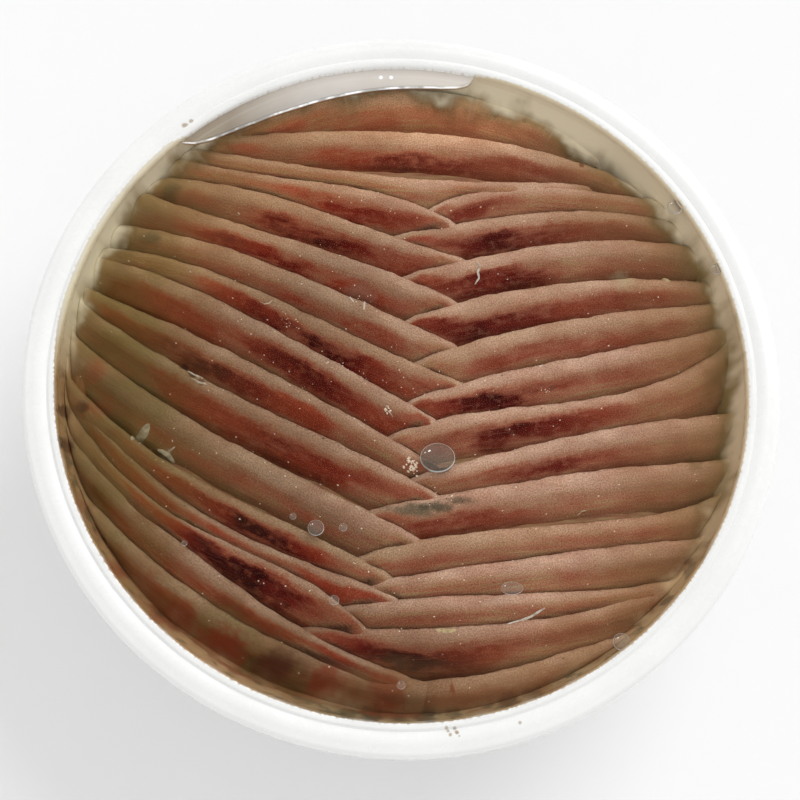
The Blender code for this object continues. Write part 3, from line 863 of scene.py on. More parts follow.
def floor_material():
    """Pale table top with a hardly visible grain."""
    made, graph = new_material("pale_table")
    grain = graph.noise(graph.place(), 60.0, 3.0)
    graph.painted(graph.mix(grain, (0.90, 0.90, 0.90, 1.0), (0.915, 0.915, 0.915, 1.0)), 0.7, 0.1)
    return made


def mesh_piece(name, work, material):
    """Turn a bmesh into a smooth object of the scene."""
    mesh = bpy.data.meshes.new(name)
    work.to_mesh(mesh)
    work.free()
    mesh.shade_smooth()
    mesh.materials.append(material)
    piece = bpy.data.objects.new(name, mesh)
    bpy.context.scene.collection.objects.link(piece)
    return piece


def arc(centre, radius, start, end, steps):
    """Points of an arc in the (radius, height) plane, angles in degrees."""
    points = []
    for step in range(steps + 1):
        angle = math.radians(start + (end - start) * step / steps)
        points.append((centre[0] + radius * math.cos(angle), centre[1] + radius * math.sin(angle)))
    return points


def inner_radius(height):
    """Radius of the tub's inner wall at a height above its rounded corner."""
    return INNER_FOOT_RADIUS + (height - CORNER_HEIGHT) * math.tan(WALL_LEAN)


def smooth_step(share):
    return share * share * (3 - 2 * share)


def turn(work, profile, segments):
    """Rings of vertices round the Z axis for each (radius, height), joined by faces."""
    rings = []
    for radius, height in profile:
        if radius == 0.0:
            rings.append([work.verts.new((0.0, 0.0, height))] * segments)
            continue
        ring = []
        for step in range(segments):
            angle = math.tau * step / segments
            ring.append(work.verts.new((radius * math.cos(angle), radius * math.sin(angle), height)))
        rings.append(ring)
    for ring, following in zip(rings, rings[1:]):
        for step in range(segments):
            after = (step + 1) % segments
            corners = [ring[step], ring[after], following[after], following[step]]
            work.faces.new(list(dict.fromkeys(corners)))


def turned_piece(name, profile, segments, material):
    """A piece turned from its profile, from the axis round to the axis."""
    work = bmesh.new()
    turn(work, profile, segments)
    bmesh.ops.recalc_face_normals(work, faces=work.faces)
    return mesh_piece(name, work, material)


def set_attribute(mesh, name, values):
    """One number for each vertex."""
    made = mesh.attributes.new(name, "FLOAT", "POINT")
    made.data.foreach_set("value", np.asarray(values, np.float32))


def get_attribute(mesh, name):
    values = np.empty(len(mesh.vertices), np.float32)
    mesh.attributes[name].data.foreach_get("value", values)
    return values


def positions(mesh):
    """Places of the vertices, and their distances and bearings from the Z axis."""
    places = np.empty(len(mesh.vertices) * 3, np.float32)
    mesh.vertices.foreach_get("co", places)
    places = places.reshape(-1, 3).astype(float)
    return places, np.hypot(places[:, 0], places[:, 1]), np.arctan2(places[:, 1], places[:, 0])


def move_vertices(mesh, places, widening=1.0):
    """Put the vertices at their places, widened from the Z axis."""
    places[:, 0] *= widening
    places[:, 1] *= widening
    mesh.vertices.foreach_set("co", places.astype(np.float32).ravel())


def tub_profile():
    """Outline of the tub as (radius, height), from the floor inside over the rim to the base."""
    band = TUB_HEIGHT - BEAD_RISE
    under = band - FLANGE_THICKNESS
    bead_end = BEAD_INNER_RADIUS + BEAD_WIDTH
    band_start = bead_end + BEAD_RISE
    band_width = FLANGE_RADIUS - FLANGE_ROUND - bead_end - BEAD_RISE
    wall_end = -math.degrees(WALL_LEAN)
    outward = WALL / math.cos(WALL_LEAN)
    profile = [(radius, WALL) for radius in FLOOR_RINGS]
    profile += arc(CORNER_CENTRE, CORNER_RADIUS, -90, wall_end, 8)
    for step in range(1, 9):
        height = CORNER_HEIGHT + (LIP_LOW - CORNER_HEIGHT) * step / 9
        profile.append((inner_radius(height), height))
    profile += arc((BEAD_INNER_RADIUS + BEAD_SHOULDER, LIP_LOW), LIP_DROP, 172, 90, 6)
    profile += arc((bead_end - BEAD_SHOULDER, TUB_HEIGHT - BEAD_ROUND), BEAD_ROUND, 90, 30, 4)
    profile.append((band_start, band + 0.00004))
    for share in (0.25, 0.5, 0.75):
        profile.append((band_start + band_width * share, band + FLANGE_CROWN * math.sin(share * math.pi)))
    profile += arc((FLANGE_RADIUS - FLANGE_ROUND, band - FLANGE_ROUND), FLANGE_ROUND, 90, 0, 7)
    foot = TUB_HEIGHT - SKIRT_DROP + SKIRT_ROUND
    profile += arc((FLANGE_RADIUS - SKIRT_ROUND, foot), SKIRT_ROUND, 0, -90, 3)
    profile += arc((FLANGE_RADIUS - WALL + SKIRT_ROUND, foot), SKIRT_ROUND, -90, -180, 3)
    profile += arc((FLANGE_RADIUS - WALL - UNDER_ROUND, under - UNDER_ROUND), UNDER_ROUND, 0, 90, 3)
    root = inner_radius(under) + outward
    profile += arc((root + UNDER_ROUND, under - UNDER_ROUND), UNDER_ROUND, 90, 172, 3)
    for step in range(1, 6):
        height = under + (CORNER_HEIGHT - under) * step / 6
        profile.append((inner_radius(height) + outward, height))
    profile += arc(CORNER_CENTRE, CORNER_RADIUS + WALL, wall_end, -90, 8)
    profile.append((BASE_RING + BASE_SLOPE, 0.0))
    return profile + [(radius, BASE_RECESS) for radius in BASE_RINGS]


def build_tub(material):
    """The tub, with faint flutes inside and a mark on the faces that lie inside it or on its top."""
    tub = turned_piece("tub_shell", tub_profile(), TUB_SEGMENTS, material)
    tub.data.set_sharp_from_angle(angle=math.radians(40))
    places, radius, angle = positions(tub.data)
    height = places[:, 2]
    from_corner = np.hypot(radius - CORNER_CENTRE[0], height - CORNER_HEIGHT)
    rounded = (radius < CORNER_CENTRE[0]) | (from_corner < CORNER_RADIUS + WALL / 2)
    inside = np.where(height > CORNER_HEIGHT, radius < inner_radius(height) + WALL / 2, rounded)
    inside &= (height > WALL - HAIR) & (height < LIP_LOW + HAIR)
    set_attribute(tub.data, "open_side", inside | (height > LIP_LOW))
    fluted = inside & (height > CORNER_HEIGHT + 0.001)
    depth = fluted * FLUTE_DEPTH * (0.5 + 0.5 * np.cos(angle * FLUTES))
    move_vertices(tub.data, places, 1 - depth / np.maximum(radius, 0.01))
    return tub


def ring_steps(stops):
    """Radii of a disc's rings: (radius, number of rings up to it) stops, from the middle out."""
    radii = []
    last = 0.0
    for radius, count in stops:
        radii += [last + (radius - last) * (step + 1) / count for step in range(count)]
        last = radius
    return radii


def build_oil(material):
    """The oil that fills the tub up to the film, with the bank of the air pocket in its surface."""
    inside = [radius for radius in ring_steps(OIL_RINGS) if radius < inner_radius(OIL_TOP)]
    profile = [(0.0, OIL_TOP)] + [(radius, OIL_TOP) for radius in inside]
    profile.append((inner_radius(OIL_TOP) + OIL_INTO_WALL, OIL_TOP))
    profile.append((inner_radius(CORNER_HEIGHT) + OIL_INTO_WALL, CORNER_HEIGHT))
    profile += arc(CORNER_CENTRE, CORNER_RADIUS + OIL_INTO_WALL, -math.degrees(WALL_LEAN), -90, 5)
    profile.append((0.0, WALL - OIL_INTO_WALL))
    oil = turned_piece("packing_oil", profile, OIL_SEGMENTS, material)
    places, radius, angle = positions(oil.data)
    bearings, edges = zip(*POCKET_EDGE)
    edge = np.interp(np.degrees(angle), bearings, edges) * MM
    away = radius - edge
    surface = places[:, 2] > OIL_TOP - 0.00001
    shown = surface & (edge < POCKET_NONE)
    kept = np.where(shown, np.clip(away, -POCKET_REACH, POCKET_REACH), -POCKET_REACH)
    set_attribute(oil.data, "pocket_away", kept)
    places[:, 2] -= surface * POCKET_DEPTH * smooth_step(np.clip(away / POCKET_BANK, 0.0, 1.0))
    move_vertices(oil.data, places)
    return oil


def build_film(material):
    """The film: a thin shell, a little wavy, with a ragged cut edge and its weld to the flange."""
    radii = [0.0] + ring_steps((*FILM_RINGS, (FILM_RADIUS - FILM_RAGGED, FILM_EDGE_RINGS)))
    middle = (FILM_LOW.z + FILM_HIGH.z) / 2
    profile = [(radius, middle - FILM_BODY / 2) for radius in radii]
    profile += [(radius, middle + FILM_BODY / 2) for radius in reversed(radii)]
    film = turned_piece("lid_film", profile, FILM_SEGMENTS, material)
    places, radius, angle = positions(film.data)
    wave = np.sin(places[:, 0] * 130 + 1.3) * np.cos(places[:, 1] * 90 + 0.4)
    near_weld = np.clip((radius - FILM_WAVE_RADIUS) / FILM_WAVE_FADE, 0.0, 1.0)
    wave += near_weld * (0.5 * np.sin(angle * 61 + 3 * np.sin(angle * 7)) + 0.3 * np.sin(angle * 97 + 1.0))
    places[:, 2] += np.clip(wave, -1.0, 1.0) * (radius < BEAD_INNER_RADIUS) * FILM_WAVE
    edge = radius > FILM_RADIUS - FILM_RAGGED - 0.0002
    ragged = 0.5 + 0.3 * np.sin(angle * 53 + 2 * np.sin(angle * 11)) + 0.2 * np.sin(angle * 127 + 0.7)
    scallop = FILM_SCALLOP * np.sin(angle * 37 + 2.0 * np.sin(angle * 5))
    from_weld = np.abs(radius - (BEAD_INNER_RADIUS + BEAD_WIDTH / 2 + scallop))
    weld = 1 - np.clip(from_weld / FILM_WELD_WIDTH, 0.0, 1.0)
    set_attribute(film.data, "weld", weld)
    widening = edge * FILM_RAGGED * np.clip(ragged, 0.0, 1.0) / np.maximum(radius, 0.01)
    move_vertices(film.data, places, 1 + widening)
    return film


def section_points():
    """Outline of a fillet's cross-section: x runs across from the high edge, y is down, in metres."""
    points = []
    for step in range(SECTION_TOP_POINTS):
        across = 0.5 - 0.5 * math.cos(math.pi * step / SECTION_TOP_POINTS)
        out = -math.sin(math.pi * across ** 0.58) ** 0.75
        points.append((across * FILLET_WIDTH, out * FILLET_THICKNESS / 2))
    for step in range(SECTION_UNDER_POINTS):
        across = 0.5 + 0.5 * math.cos(math.pi * step / SECTION_UNDER_POINTS)
        out = 0.85 * math.sin(math.pi * across ** 0.85) ** 0.8
        points.append((across * FILLET_WIDTH, out * FILLET_THICKNESS / 2))
    return points


def curve_object(name, splines, cyclic=False):
    """A curve of poly splines. Each point is (place, radius, tilt)."""
    data = bpy.data.curves.new(name, "CURVE")
    data.dimensions = "3D"
    data.twist_mode = "Z_UP"
    for points in splines:
        spline = data.splines.new("POLY")
        spline.points.add(len(points) - 1)
        spline.use_cyclic_u = cyclic
        for point, (place, radius, tilt) in zip(spline.points, points):
            point.co = (*place, 1.0)
            point.radius = radius
            point.tilt = tilt
    made = bpy.data.objects.new(name, data)
    bpy.context.scene.collection.objects.link(made)
    return made


def edge_y(edge, middle, x):
    """Where a fillet's top edge lies at x."""
    away = (x - middle) / EDGE_SPAN
    return MM * (edge.height + edge.slope * away + edge.bend * away ** 2 + edge.sway * away ** 3)


def edge_line(edge, middle, start, end):
    """Points of a top edge, one for each step, to just beyond the wall."""
    count = int((end - start) / FILLET_STEP)
    xs = [start + (end - start) * step / count for step in range(count + 1)]
    points = [Vector((x, edge_y(edge, middle, x), 0.0)) for x in xs]
    return [place for place in points if place.length < END_RADIUS]


def dip(place):
    """How far the layer sinks towards the wall: least on the left, most on the right."""
    share = (place.length - DIP_START_RADIUS) / (INNER_TOP_RADIUS - DIP_START_RADIUS)
    lean = 1 + DIP_LEAN * place.x / max(place.length, MM)
    return END_DIP * lean * smooth_step(min(max(share, 0.0), 1.0))


def taper(away, ending):
    """Size of a fillet at a distance from its end."""
    near = min(away / ending.taper, 1.0)
    return ending.size + (1.0 - ending.size) * math.sin(near * math.pi / 2) ** 0.9


def sunk(away, ending):
    """How far a fillet's end has sunk at a distance from it."""
    return ending.sink * max(1.0 - away / ending.sink_length, 0.0) ** 1.5


def swept(line, draw, endings, depth=0.0):
    """Sweep points of one fillet along its top edge: (place, size, tilt)."""
    width = draw.uniform(1 - WIDTH_SPREAD, 1 + WIDTH_SPREAD)
    tilt = FILLET_TILT + draw.uniform(-TILT_SPREAD, TILT_SPREAD)
    layer_top = TUB_HEIGHT - HEADROOM - draw.uniform(0.0, LEVEL_SPREAD) - depth
    lengths = [0.0]
    for place, following in zip(line, line[1:]):
        lengths.append(lengths[-1] + (following - place).length)
    points = []
    for index, edge in enumerate(line):
        along = (line[min(index + 1, len(line) - 1)] - line[max(index - 1, 0)]).normalized()
        level = Vector((along.y, -along.x, 0.0))
        aways = (lengths[index], lengths[-1] - lengths[index])
        size = min(taper(away, ending) for away, ending in zip(aways, endings))
        sink = sum(sunk(away, ending) for away, ending in zip(aways, endings))
        height = layer_top - FILLET_THICKNESS / 2 - dip(edge + level * FILLET_WIDTH / 2) - sink
        points.append((Vector((edge.x, edge.y, height)), width * size, tilt))
    return points


Laid = namedtuple("Laid", "group line points tone")


def meeting(left, right):
    """Where the edge of a left fillet, going down to the right, crosses that of a right one."""
    above = False
    for step in range(-400, 400):
        x = step * MM / 10
        was_above = above
        above = edge_y(left, LEFT_MIDDLE, x) > edge_y(right, RIGHT_MIDDLE, x)
        if was_above and not above:
            return x
    return 0.0


def lay_fillets():
    """Every fillet in the order it is laid."""
    draw = random.Random(SEED)
    laid = []
    for edge, ends, tone in zip(BACK_EDGES, BACK_ENDS, BACK_TONES):
        line = edge_line(edge, BACK_MIDDLE, *ends)
        laid.append(Laid("back", line, swept(line, draw, (AT_WALL, BACK_RIGHT_END)), tone))
    for index, (left, right) in enumerate(zip(LEFT_EDGES, RIGHT_EDGES)):
        start = meeting(left, right) - RIGHT_TIP_REACH
        line = edge_line(right, RIGHT_MIDDLE, start, FLANGE_RADIUS)
        laid.append(Laid("right", line, swept(line, draw, (RIGHT_TIP, AT_WALL)), RIGHT_TONES[index]))
        following = RIGHT_EDGES[index + 1:index + 2]
        end = meeting(left, *following) if following else LAST_LEFT_TIP
        line = edge_line(left, LEFT_MIDDLE, -FLANGE_RADIUS, end + LEFT_TIP_REACH)
        laid.append(Laid("left", line, swept(line, draw, (AT_WALL, LEFT_TIP)), LEFT_TONES[index]))
    for deep in SKIRTING:
        count = int(math.radians(deep.last - deep.first) * deep.radius / FILLET_STEP)
        line = []
        for step in range(count + 1):
            bearing = math.radians(deep.first + (deep.last - deep.first) * step / count)
            line.append(Vector((deep.radius * math.cos(bearing), deep.radius * math.sin(bearing), 0.0)))
        points = swept(line, draw, (LEFT_TIP, LEFT_TIP), deep.depth)
        laid.append(Laid("skirting", line, points, DEEP_TONE))
    return laid


def store(graph, geometry, name, value, kind="FLOAT"):
    """Keep a value on every point under a name."""
    values = {"Geometry": geometry, "Name": name, "Value": value}
    return graph.add("GeometryNodeStoreNamedAttribute", values, data_type=kind, domain="POINT")


def named(graph, name):
    """A number kept on every point."""
    return graph.add("GeometryNodeInputNamedAttribute", {"Name": name}, data_type="FLOAT")["Attribute"]


def shape_tree(name, inputs):
    """A geometry group that is given a mesh, its own inputs and a material, and gives a mesh."""
    inputs = [("Geometry", "Geometry", None), *inputs, ("Skin", "Material", None)]
    return new_tree(name, inputs, [("Geometry", "Geometry")], "GeometryNodeTree")


def give_mesh(graph, geometry, given, smooth=True):
    """The group's output: real geometry that wears the given material."""
    made = graph.add("GeometryNodeRealizeInstances", {"Geometry": geometry})
    if smooth:
        made = graph.add("GeometryNodeSetShadeSmooth", {"Geometry": made})
    made = graph.add("GeometryNodeSetMaterial", {"Geometry": made, "Material": given["Skin"]})
    graph.add("NodeGroupOutput", {"Geometry": made})


def object_shape(graph, holder):
    return graph.add("GeometryNodeObjectInfo", {"Object": holder})["Geometry"]


def swept_mesh(graph, paths, section):
    """A section swept along paths, as wide as the paths' own radius says."""
    radius = graph.add("GeometryNodeInputRadius")
    values = {"Curve": paths, "Profile Curve": section, "Scale": radius, "Fill Caps": True}
    return graph.add("GeometryNodeCurveToMesh", values)


def fillet_tree():
    """Sweeps fillets along their paths, roughens them and marks each point of their skin."""
    inputs = [("Paths", "Object", None), ("Section", "Object", None)]
    inputs += [("Edge Wander", "Float", 0.0003), ("Swell", "Float", 0.0004)]
    inputs += [("Fibre Depth", "Float", 0.0001), ("Flank Groove", "Float", 0.0003)]
    tree, graph, given = shape_tree("sweep_fillets", inputs)
    curves = object_shape(graph, given["Paths"])
    curves = store(graph, curves, "row", graph.add("GeometryNodeCurveOfPoint")["Curve Index"])
    curves = store(graph, curves, "run", graph.add("GeometryNodeSplineParameter")["Length"])
    x, _, _ = graph.parts(graph.add("GeometryNodeInputPosition"))
    section = store(graph, object_shape(graph, given["Section"]), "across", x / FILLET_WIDTH)
    across = named(graph, "across")
    row = named(graph, "row")
    flesh = graph.joined(named(graph, "run") + row * ROW_SHIFT, across * FILLET_WIDTH, row)
    swell = graph.noise(flesh * (75.0, 110.0, 3.0))
    fibre = graph.noise(flesh * (120.0, 1300.0, 3.0))
    ripple = graph.noise(flesh * (210.0, 0.0, 3.0), detail=3.0, roughness=0.6)
    relief = (swell - 0.5) * (given["Swell"] * 3.0) + (fibre - 0.5) * (given["Fibre Depth"] * 3.0)
    groove = graph.ramp(across, 0.27, 0.40) * graph.ramp(across, 0.66, 0.48) * given["Flank Groove"]
    wander = (ripple - 0.5) * (given["Edge Wander"] * 4.0) * graph.ramp(across, 0.0, 0.6, 1.0, 0.0)
    normal = graph.add("GeometryNodeInputNormal")
    values = {"Geometry": swept_mesh(graph, curves, section)}
    values["Offset"] = graph.scaled(normal, relief - groove) + graph.joined(y=wander)
    rough = graph.add("GeometryNodeSetPosition", values)
    give_mesh(graph, store(graph, rough, "flesh", flesh, "FLOAT_VECTOR"), given)
    return tree


def grow(name, tree, values, base=None):
    """Run a geometry tree and keep what it makes as a plain mesh object at the origin."""
    carrier = bpy.data.objects.new(name, base or bpy.data.meshes.new(name))
    bpy.context.scene.collection.objects.link(carrier)
    modifier = carrier.modifiers.new("Grow", "NODES")
    modifier.node_group = tree
    for item in tree.interface.items_tree:
        if item.item_type == "SOCKET" and item.in_out == "INPUT" and item.name in values:
            modifier[item.identifier] = values[item.name]
    evaluated = carrier.evaluated_get(bpy.context.evaluated_depsgraph_get())
    mesh = bpy.data.meshes.new_from_object(evaluated)
    carrier.modifiers.clear()
    carrier.data = mesh
    return carrier


def squeeze(piece):
    """Press what would stick through the wall up against its inner side."""
    places, radius, _ = positions(piece.data)
    free = inner_radius(places[:, 2]) - WALL_CLEARANCE - WALL_SQUEEZE
    pressed = free + WALL_SQUEEZE * (1 - np.exp(-np.maximum(radius - free, 0.0) / WALL_SQUEEZE))
    move_vertices(piece.data, places, np.where(radius > free, pressed / np.maximum(radius, MM), 1.0))


def fade_between(values, first, last, fade):
    """1 between two limits, falling to 0 over a distance outside them."""
    outside = np.maximum(np.maximum(first - values, values - last), 0.0)
    return np.clip(1 - outside / fade, 0.0, 1.0)


def edges_at(xs, laid):
    """Each fillet's top edge at the given places, and the same with gaps beyond its ends."""
    edges = []
    shown = []
    for fillet in laid:
        line_xs = [place.x for place in fillet.line]
        line_ys = [place.y for place in fillet.line]
        flat = fillet.group == "skirting"
        edge = np.full(len(xs), np.nan) if flat else np.interp(xs, line_xs, line_ys)
        outside = (xs < min(line_xs) + END_MARGIN) | (xs > max(line_xs) - END_MARGIN)
        edges.append(edge)
        shown.append(np.where(outside, np.nan, edge))
    return np.stack(edges), shown


def mark_bands(piece, rows, laid):
    """Give each point its place in the visible band of its fillet, and the fillet's tone.

    The band runs from 0 at the fillet's own top edge to 1 at the edge laid over it. The painted
    shade in the crease is 1 right behind that edge.
    """
    places = positions(piece.data)[0]
    xs = places[:, 0]
    ys = places[:, 1]
    edges, shown = edges_at(xs, laid)
    own = edges[rows, np.arange(len(rows))]
    following = np.full(len(xs), -1.0)
    for index, edge in enumerate(shown):
        covers = (rows < index) & (edge < own - NEXT_EDGE_LEAST) & (edge > following)
        following = np.where(covers, edge, following)
    following = np.maximum(following, own - BAND_WIDEST)
    band = (own - ys) / np.maximum(own - following, BAND_NARROWEST)
    # Painted shade in the crease: 1 right behind the edge laid over the fillet, fading over a short reach
    crease = np.clip(1 - (ys - following) / CREASE_SHADE_REACH, 0.0, 1.0) ** 2
    crease = np.where(following > own - BAND_WIDEST + HAIR, crease, 0.0)
    crease *= np.clip((own - following - CREASE_SHADE_BAND) / CREASE_SHADE_FADE, 0.0, 1.0)
    deep = np.isnan(own)
    tones = np.array([fillet.tone for fillet in laid])[rows]
    strength, start, first, last, black, black_at = tones.T
    x_mm = xs / MM
    strength = strength * (TONE_REST + (1 - TONE_REST) * fade_between(x_mm, first, last, TONE_FADE))
    across = get_attribute(piece.data, "across")
    set_attribute(piece.data, "band", np.where(deep, across * 1.5, np.clip(band, -0.5, 2.0)))
    set_attribute(piece.data, "crease", np.where(deep, 0.0, crease))
    set_attribute(piece.data, "flank", strength)
    set_attribute(piece.data, "black", black * np.exp(-((x_mm - black_at) / BLACK_SPAN) ** 2))
    set_attribute(piece.data, "start", start)


def build_fillets(material):
    """The rows of fillets: the back, each side of the herringbone and the deeper ends."""
    laid = lay_fillets()
    section = [((x, y, 0.0), 1.0, 0.0) for x, y in section_points()]
    section_curve = curve_object("fillet_section", [section], cyclic=True)
    tree = fillet_tree()
    pieces = []
    for group in ("back", "right", "left", "skirting"):
        members = [index for index, fillet in enumerate(laid) if fillet.group == group]
        paths = curve_object(f"paths_{group}", [laid[index].points for index in members])
        piece = grow(f"fillets_{group}", tree, {"Paths": paths, "Section": section_curve, "Skin": material})
        rows = get_attribute(piece.data, "row").round().astype(int)
        mark_bands(piece, np.array(members)[rows], laid)
        squeeze(piece)
        pieces.append(piece)
        bpy.data.objects.remove(paths)
    bpy.data.objects.remove(section_curve)
    return pieces


def build_core(material):
    """The layers underneath, as one body that slopes down towards the wall."""
    layer_top = TUB_HEIGHT - HEADROOM
    edge = layer_top - CORE_EDGE_DEPTH
    edge_radius = inner_radius(edge) - WALL_CLEARANCE
    bottom = WALL + CORE_LIFT
    foot = INNER_FOOT_RADIUS - CORNER_RADIUS - WALL_CLEARANCE
    profile = [(0.0, bottom), (foot, bottom), (inner_radius(CORNER_HEIGHT) - WALL_CLEARANCE, CORNER_HEIGHT)]
    for step in range(CORE_BANK_RINGS):
        share = step / CORE_BANK_RINGS
        radius = edge_radius * (1 - share) + DIP_START_RADIUS * share
        profile.append((radius, edge + (CORE_EDGE_DEPTH - CORE_DEPTH) * math.sin(share * math.pi / 2)))
    shares = [1 - step / CORE_TOP_RINGS for step in range(CORE_TOP_RINGS + 1)]
    profile += [(DIP_START_RADIUS * share, layer_top - CORE_DEPTH) for share in shares]
    return turned_piece("fillets_core", profile, CORE_SEGMENTS, material)


def build_cloud(material):
    """Cloudy oil that fills the gap between the ends of the fillets and the wall."""
    outer = OIL_INTO_WALL / 2
    profile = [(CLOUD_BANK[0][0], CLOUD_BOTTOM), *CLOUD_BANK, (inner_radius(CLOUD_TOP) + outer, CLOUD_TOP)]
    profile += [(inner_radius(CLOUD_BOTTOM) + outer, CLOUD_BOTTOM), profile[0]]
    work = bmesh.new()
    turn(work, profile, CLOUD_SEGMENTS)
    bmesh.ops.remove_doubles(work, verts=work.verts, dist=HAIR / 10)
    bmesh.ops.recalc_face_normals(work, faces=work.faces)
    for vertex in work.verts:
        bearing = math.degrees(math.atan2(vertex.co.y, vertex.co.x))
        inward = min(bearing - CLOUD_WIDE[0], CLOUD_WIDE[1] - bearing)
        share = min(max(inward / CLOUD_WIDE_FADE, 0.0), 1.0)
        radius = math.hypot(vertex.co.x, vertex.co.y)
        if radius < CLOUD_BANK[-1][0] - HAIR:
            scale = 1 - CLOUD_WIDENING * smooth_step(share) / radius
            vertex.co.x *= scale
            vertex.co.y *= scale
    cloud = mesh_piece("cloudy_oil", work, material)
    cloud.data.set_sharp_from_angle(angle=math.radians(60))
    return cloud


def bubble_tree():
    """Puts a flattened ball on every point, sized by the point's own numbers."""
    tree, graph, given = shape_tree("blow_bubbles", [("Flatness", "Float", 0.4)])
    ball = graph.add("GeometryNodeMeshUVSphere", {"Segments": 28, "Rings": 16, "Radius": 1.0})
    radius = named(graph, "radius")
    size = graph.joined(radius * named(graph, "stretch"), radius, radius * given["Flatness"])
    values = {"Points": given["Geometry"], "Instance": ball, "Scale": size}
    give_mesh(graph, graph.add("GeometryNodeInstanceOnPoints", values), given)
    return tree


def points_mesh(name, places, **numbers):
    """A mesh of loose points, each with its own numbers."""
    mesh = bpy.data.meshes.new(name)
    mesh.from_pydata(places, [], [])
    for label, values in numbers.items():
        set_attribute(mesh, label, values)
    return mesh


def build_bubbles(material):
    """Air bubbles that rest against the underside of the film."""
    places = [(b.x * MM, b.y * MM, OIL_TOP - BUBBLE_GAP - b.radius * MM * BUBBLE_FLATNESS) for b in BUBBLES]
    radii = [b.radius * MM for b in BUBBLES]
    mesh = points_mesh("bubble_places", places, radius=radii, stretch=[b.stretch for b in BUBBLES])
    return grow("oil_bubbles", bubble_tree(), {"Flatness": BUBBLE_FLATNESS, "Skin": material}, mesh)


def lump(graph):
    return graph.add("GeometryNodeMeshIcoSphere", {"Radius": 1.0, "Subdivisions": 1})


def crumb_tree():
    """Scatters small lumps over the upward faces of a piece."""
    inputs = [("Density", "Float", 1.0), ("Smallest", "Float", 0.0001), ("Largest", "Float", 0.0003)]
    tree, graph, given = shape_tree("scatter_crumbs", [*inputs, ("Seed", "Int", 1)])
    upward = graph.maths("GREATER_THAN", graph.parts(graph.add("GeometryNodeInputNormal"))[2], 0.6)
    open_skin = graph.maths("LESS_THAN", named(graph, "crease"), 0.3)
    values = {"Mesh": given["Geometry"], "Selection": upward * open_skin}
    values.update({"Density": given["Density"], "Seed": given["Seed"]})
    points = graph.add("GeometryNodeDistributePointsOnFaces", values)
    values = {2: given["Smallest"], 3: given["Largest"], "Seed": given["Seed"]}
    size = graph.add("FunctionNodeRandomValue", values, data_type="FLOAT")[1]
    values = {"Points": points["Points"], "Instance": lump(graph), "Rotation": points["Rotation"]}
    values["Scale"] = graph.joined(size, size * 0.7, size * 0.5)
    give_mesh(graph, graph.add("GeometryNodeInstanceOnPoints", values), given, smooth=False)
    return tree


class Skin:
    """Finds the upper side of the fillets."""

    def __init__(self, pieces):
        work = bmesh.new()
        for piece in pieces:
            work.from_mesh(piece.data)
        self.tree = BVHTree.FromBMesh(work)
        work.free()

    def over(self, x, y, above=0.0):
        """The place on the skin under (x, y), in millimetres, raised by a height."""
        start = Vector((x * MM, y * MM, FILM_LOW.z))
        place = self.tree.ray_cast(start, Vector((0.0, 0.0, -1.0)))[0]
        return (place or start - Vector((0.0, 0.0, SKIN_DEPTH))) + Vector((0.0, 0.0, above))


def lump_tree():
    """Puts a small lump on every point, sized and turned by the point's own numbers."""
    tree, graph, given = shape_tree("strew_lumps", [("Flatness", "Float", 0.6)])
    radius = named(graph, "radius")
    values = {"Points": given["Geometry"], "Instance": lump(graph)}
    values["Rotation"] = graph.joined(0.3, 0.2, named(graph, "turn"))
    values["Scale"] = graph.joined(radius, radius * 0.65, radius * given["Flatness"])
    give_mesh(graph, graph.add("GeometryNodeInstanceOnPoints", values), given, smooth=False)
    return tree


def build_strewn(name, tree, skin, dark, material):
    """Crumbs in the places where the photo shows them."""
    draw = random.Random(SEED + 5 + dark)
    places = []
    sizes = []
    for strip in [strip for strip in STREWN if strip.dark == dark]:
        for _ in range(strip.count):
            share = draw.random()
            ends = zip(strip.first, strip.last)
            x, y = (a + (b - a) * share + draw.gauss(0, strip.spread) for a, b in ends)
            places.append(skin.over(x, y))
            sizes.append(strip.largest * MM * draw.uniform(0.35, 1.0))
    turns = [draw.uniform(0, math.tau) for _ in places]
    mesh = points_mesh(f"{name}_places", places, radius=sizes, turn=turns)
    return grow(name, tree, {"Flatness": LUMP_FLATNESS, "Skin": material}, mesh)


def scrap_tree():
    """Sweeps thin ragged strips along their paths."""
    inputs = [("Paths", "Object", None), ("Thickness", "Float", 0.15), ("Ragged", "Float", 0.0003)]
    tree, graph, given = shape_tree("lay_scraps", inputs)
    circle = graph.add("GeometryNodeCurvePrimitiveCircle", {"Resolution": 14, "Radius": 0.5})
    flat = graph.joined(1.0, given["Thickness"], 1.0)
    section = graph.add("GeometryNodeTransform", {"Geometry": circle, "Scale": flat})
    strip = swept_mesh(graph, object_shape(graph, given["Paths"]), section)
    values = {"Vector": graph.add("GeometryNodeInputPosition"), "Scale": 1400.0, "Detail": 2.0}
    noise = graph.add("ShaderNodeTexNoise", values)["Color"]
    values = {"Geometry": strip, "Offset": graph.scaled(noise - (0.5, 0.5, 0.5), given["Ragged"])}
    give_mesh(graph, graph.add("GeometryNodeSetPosition", values), given)
    return tree


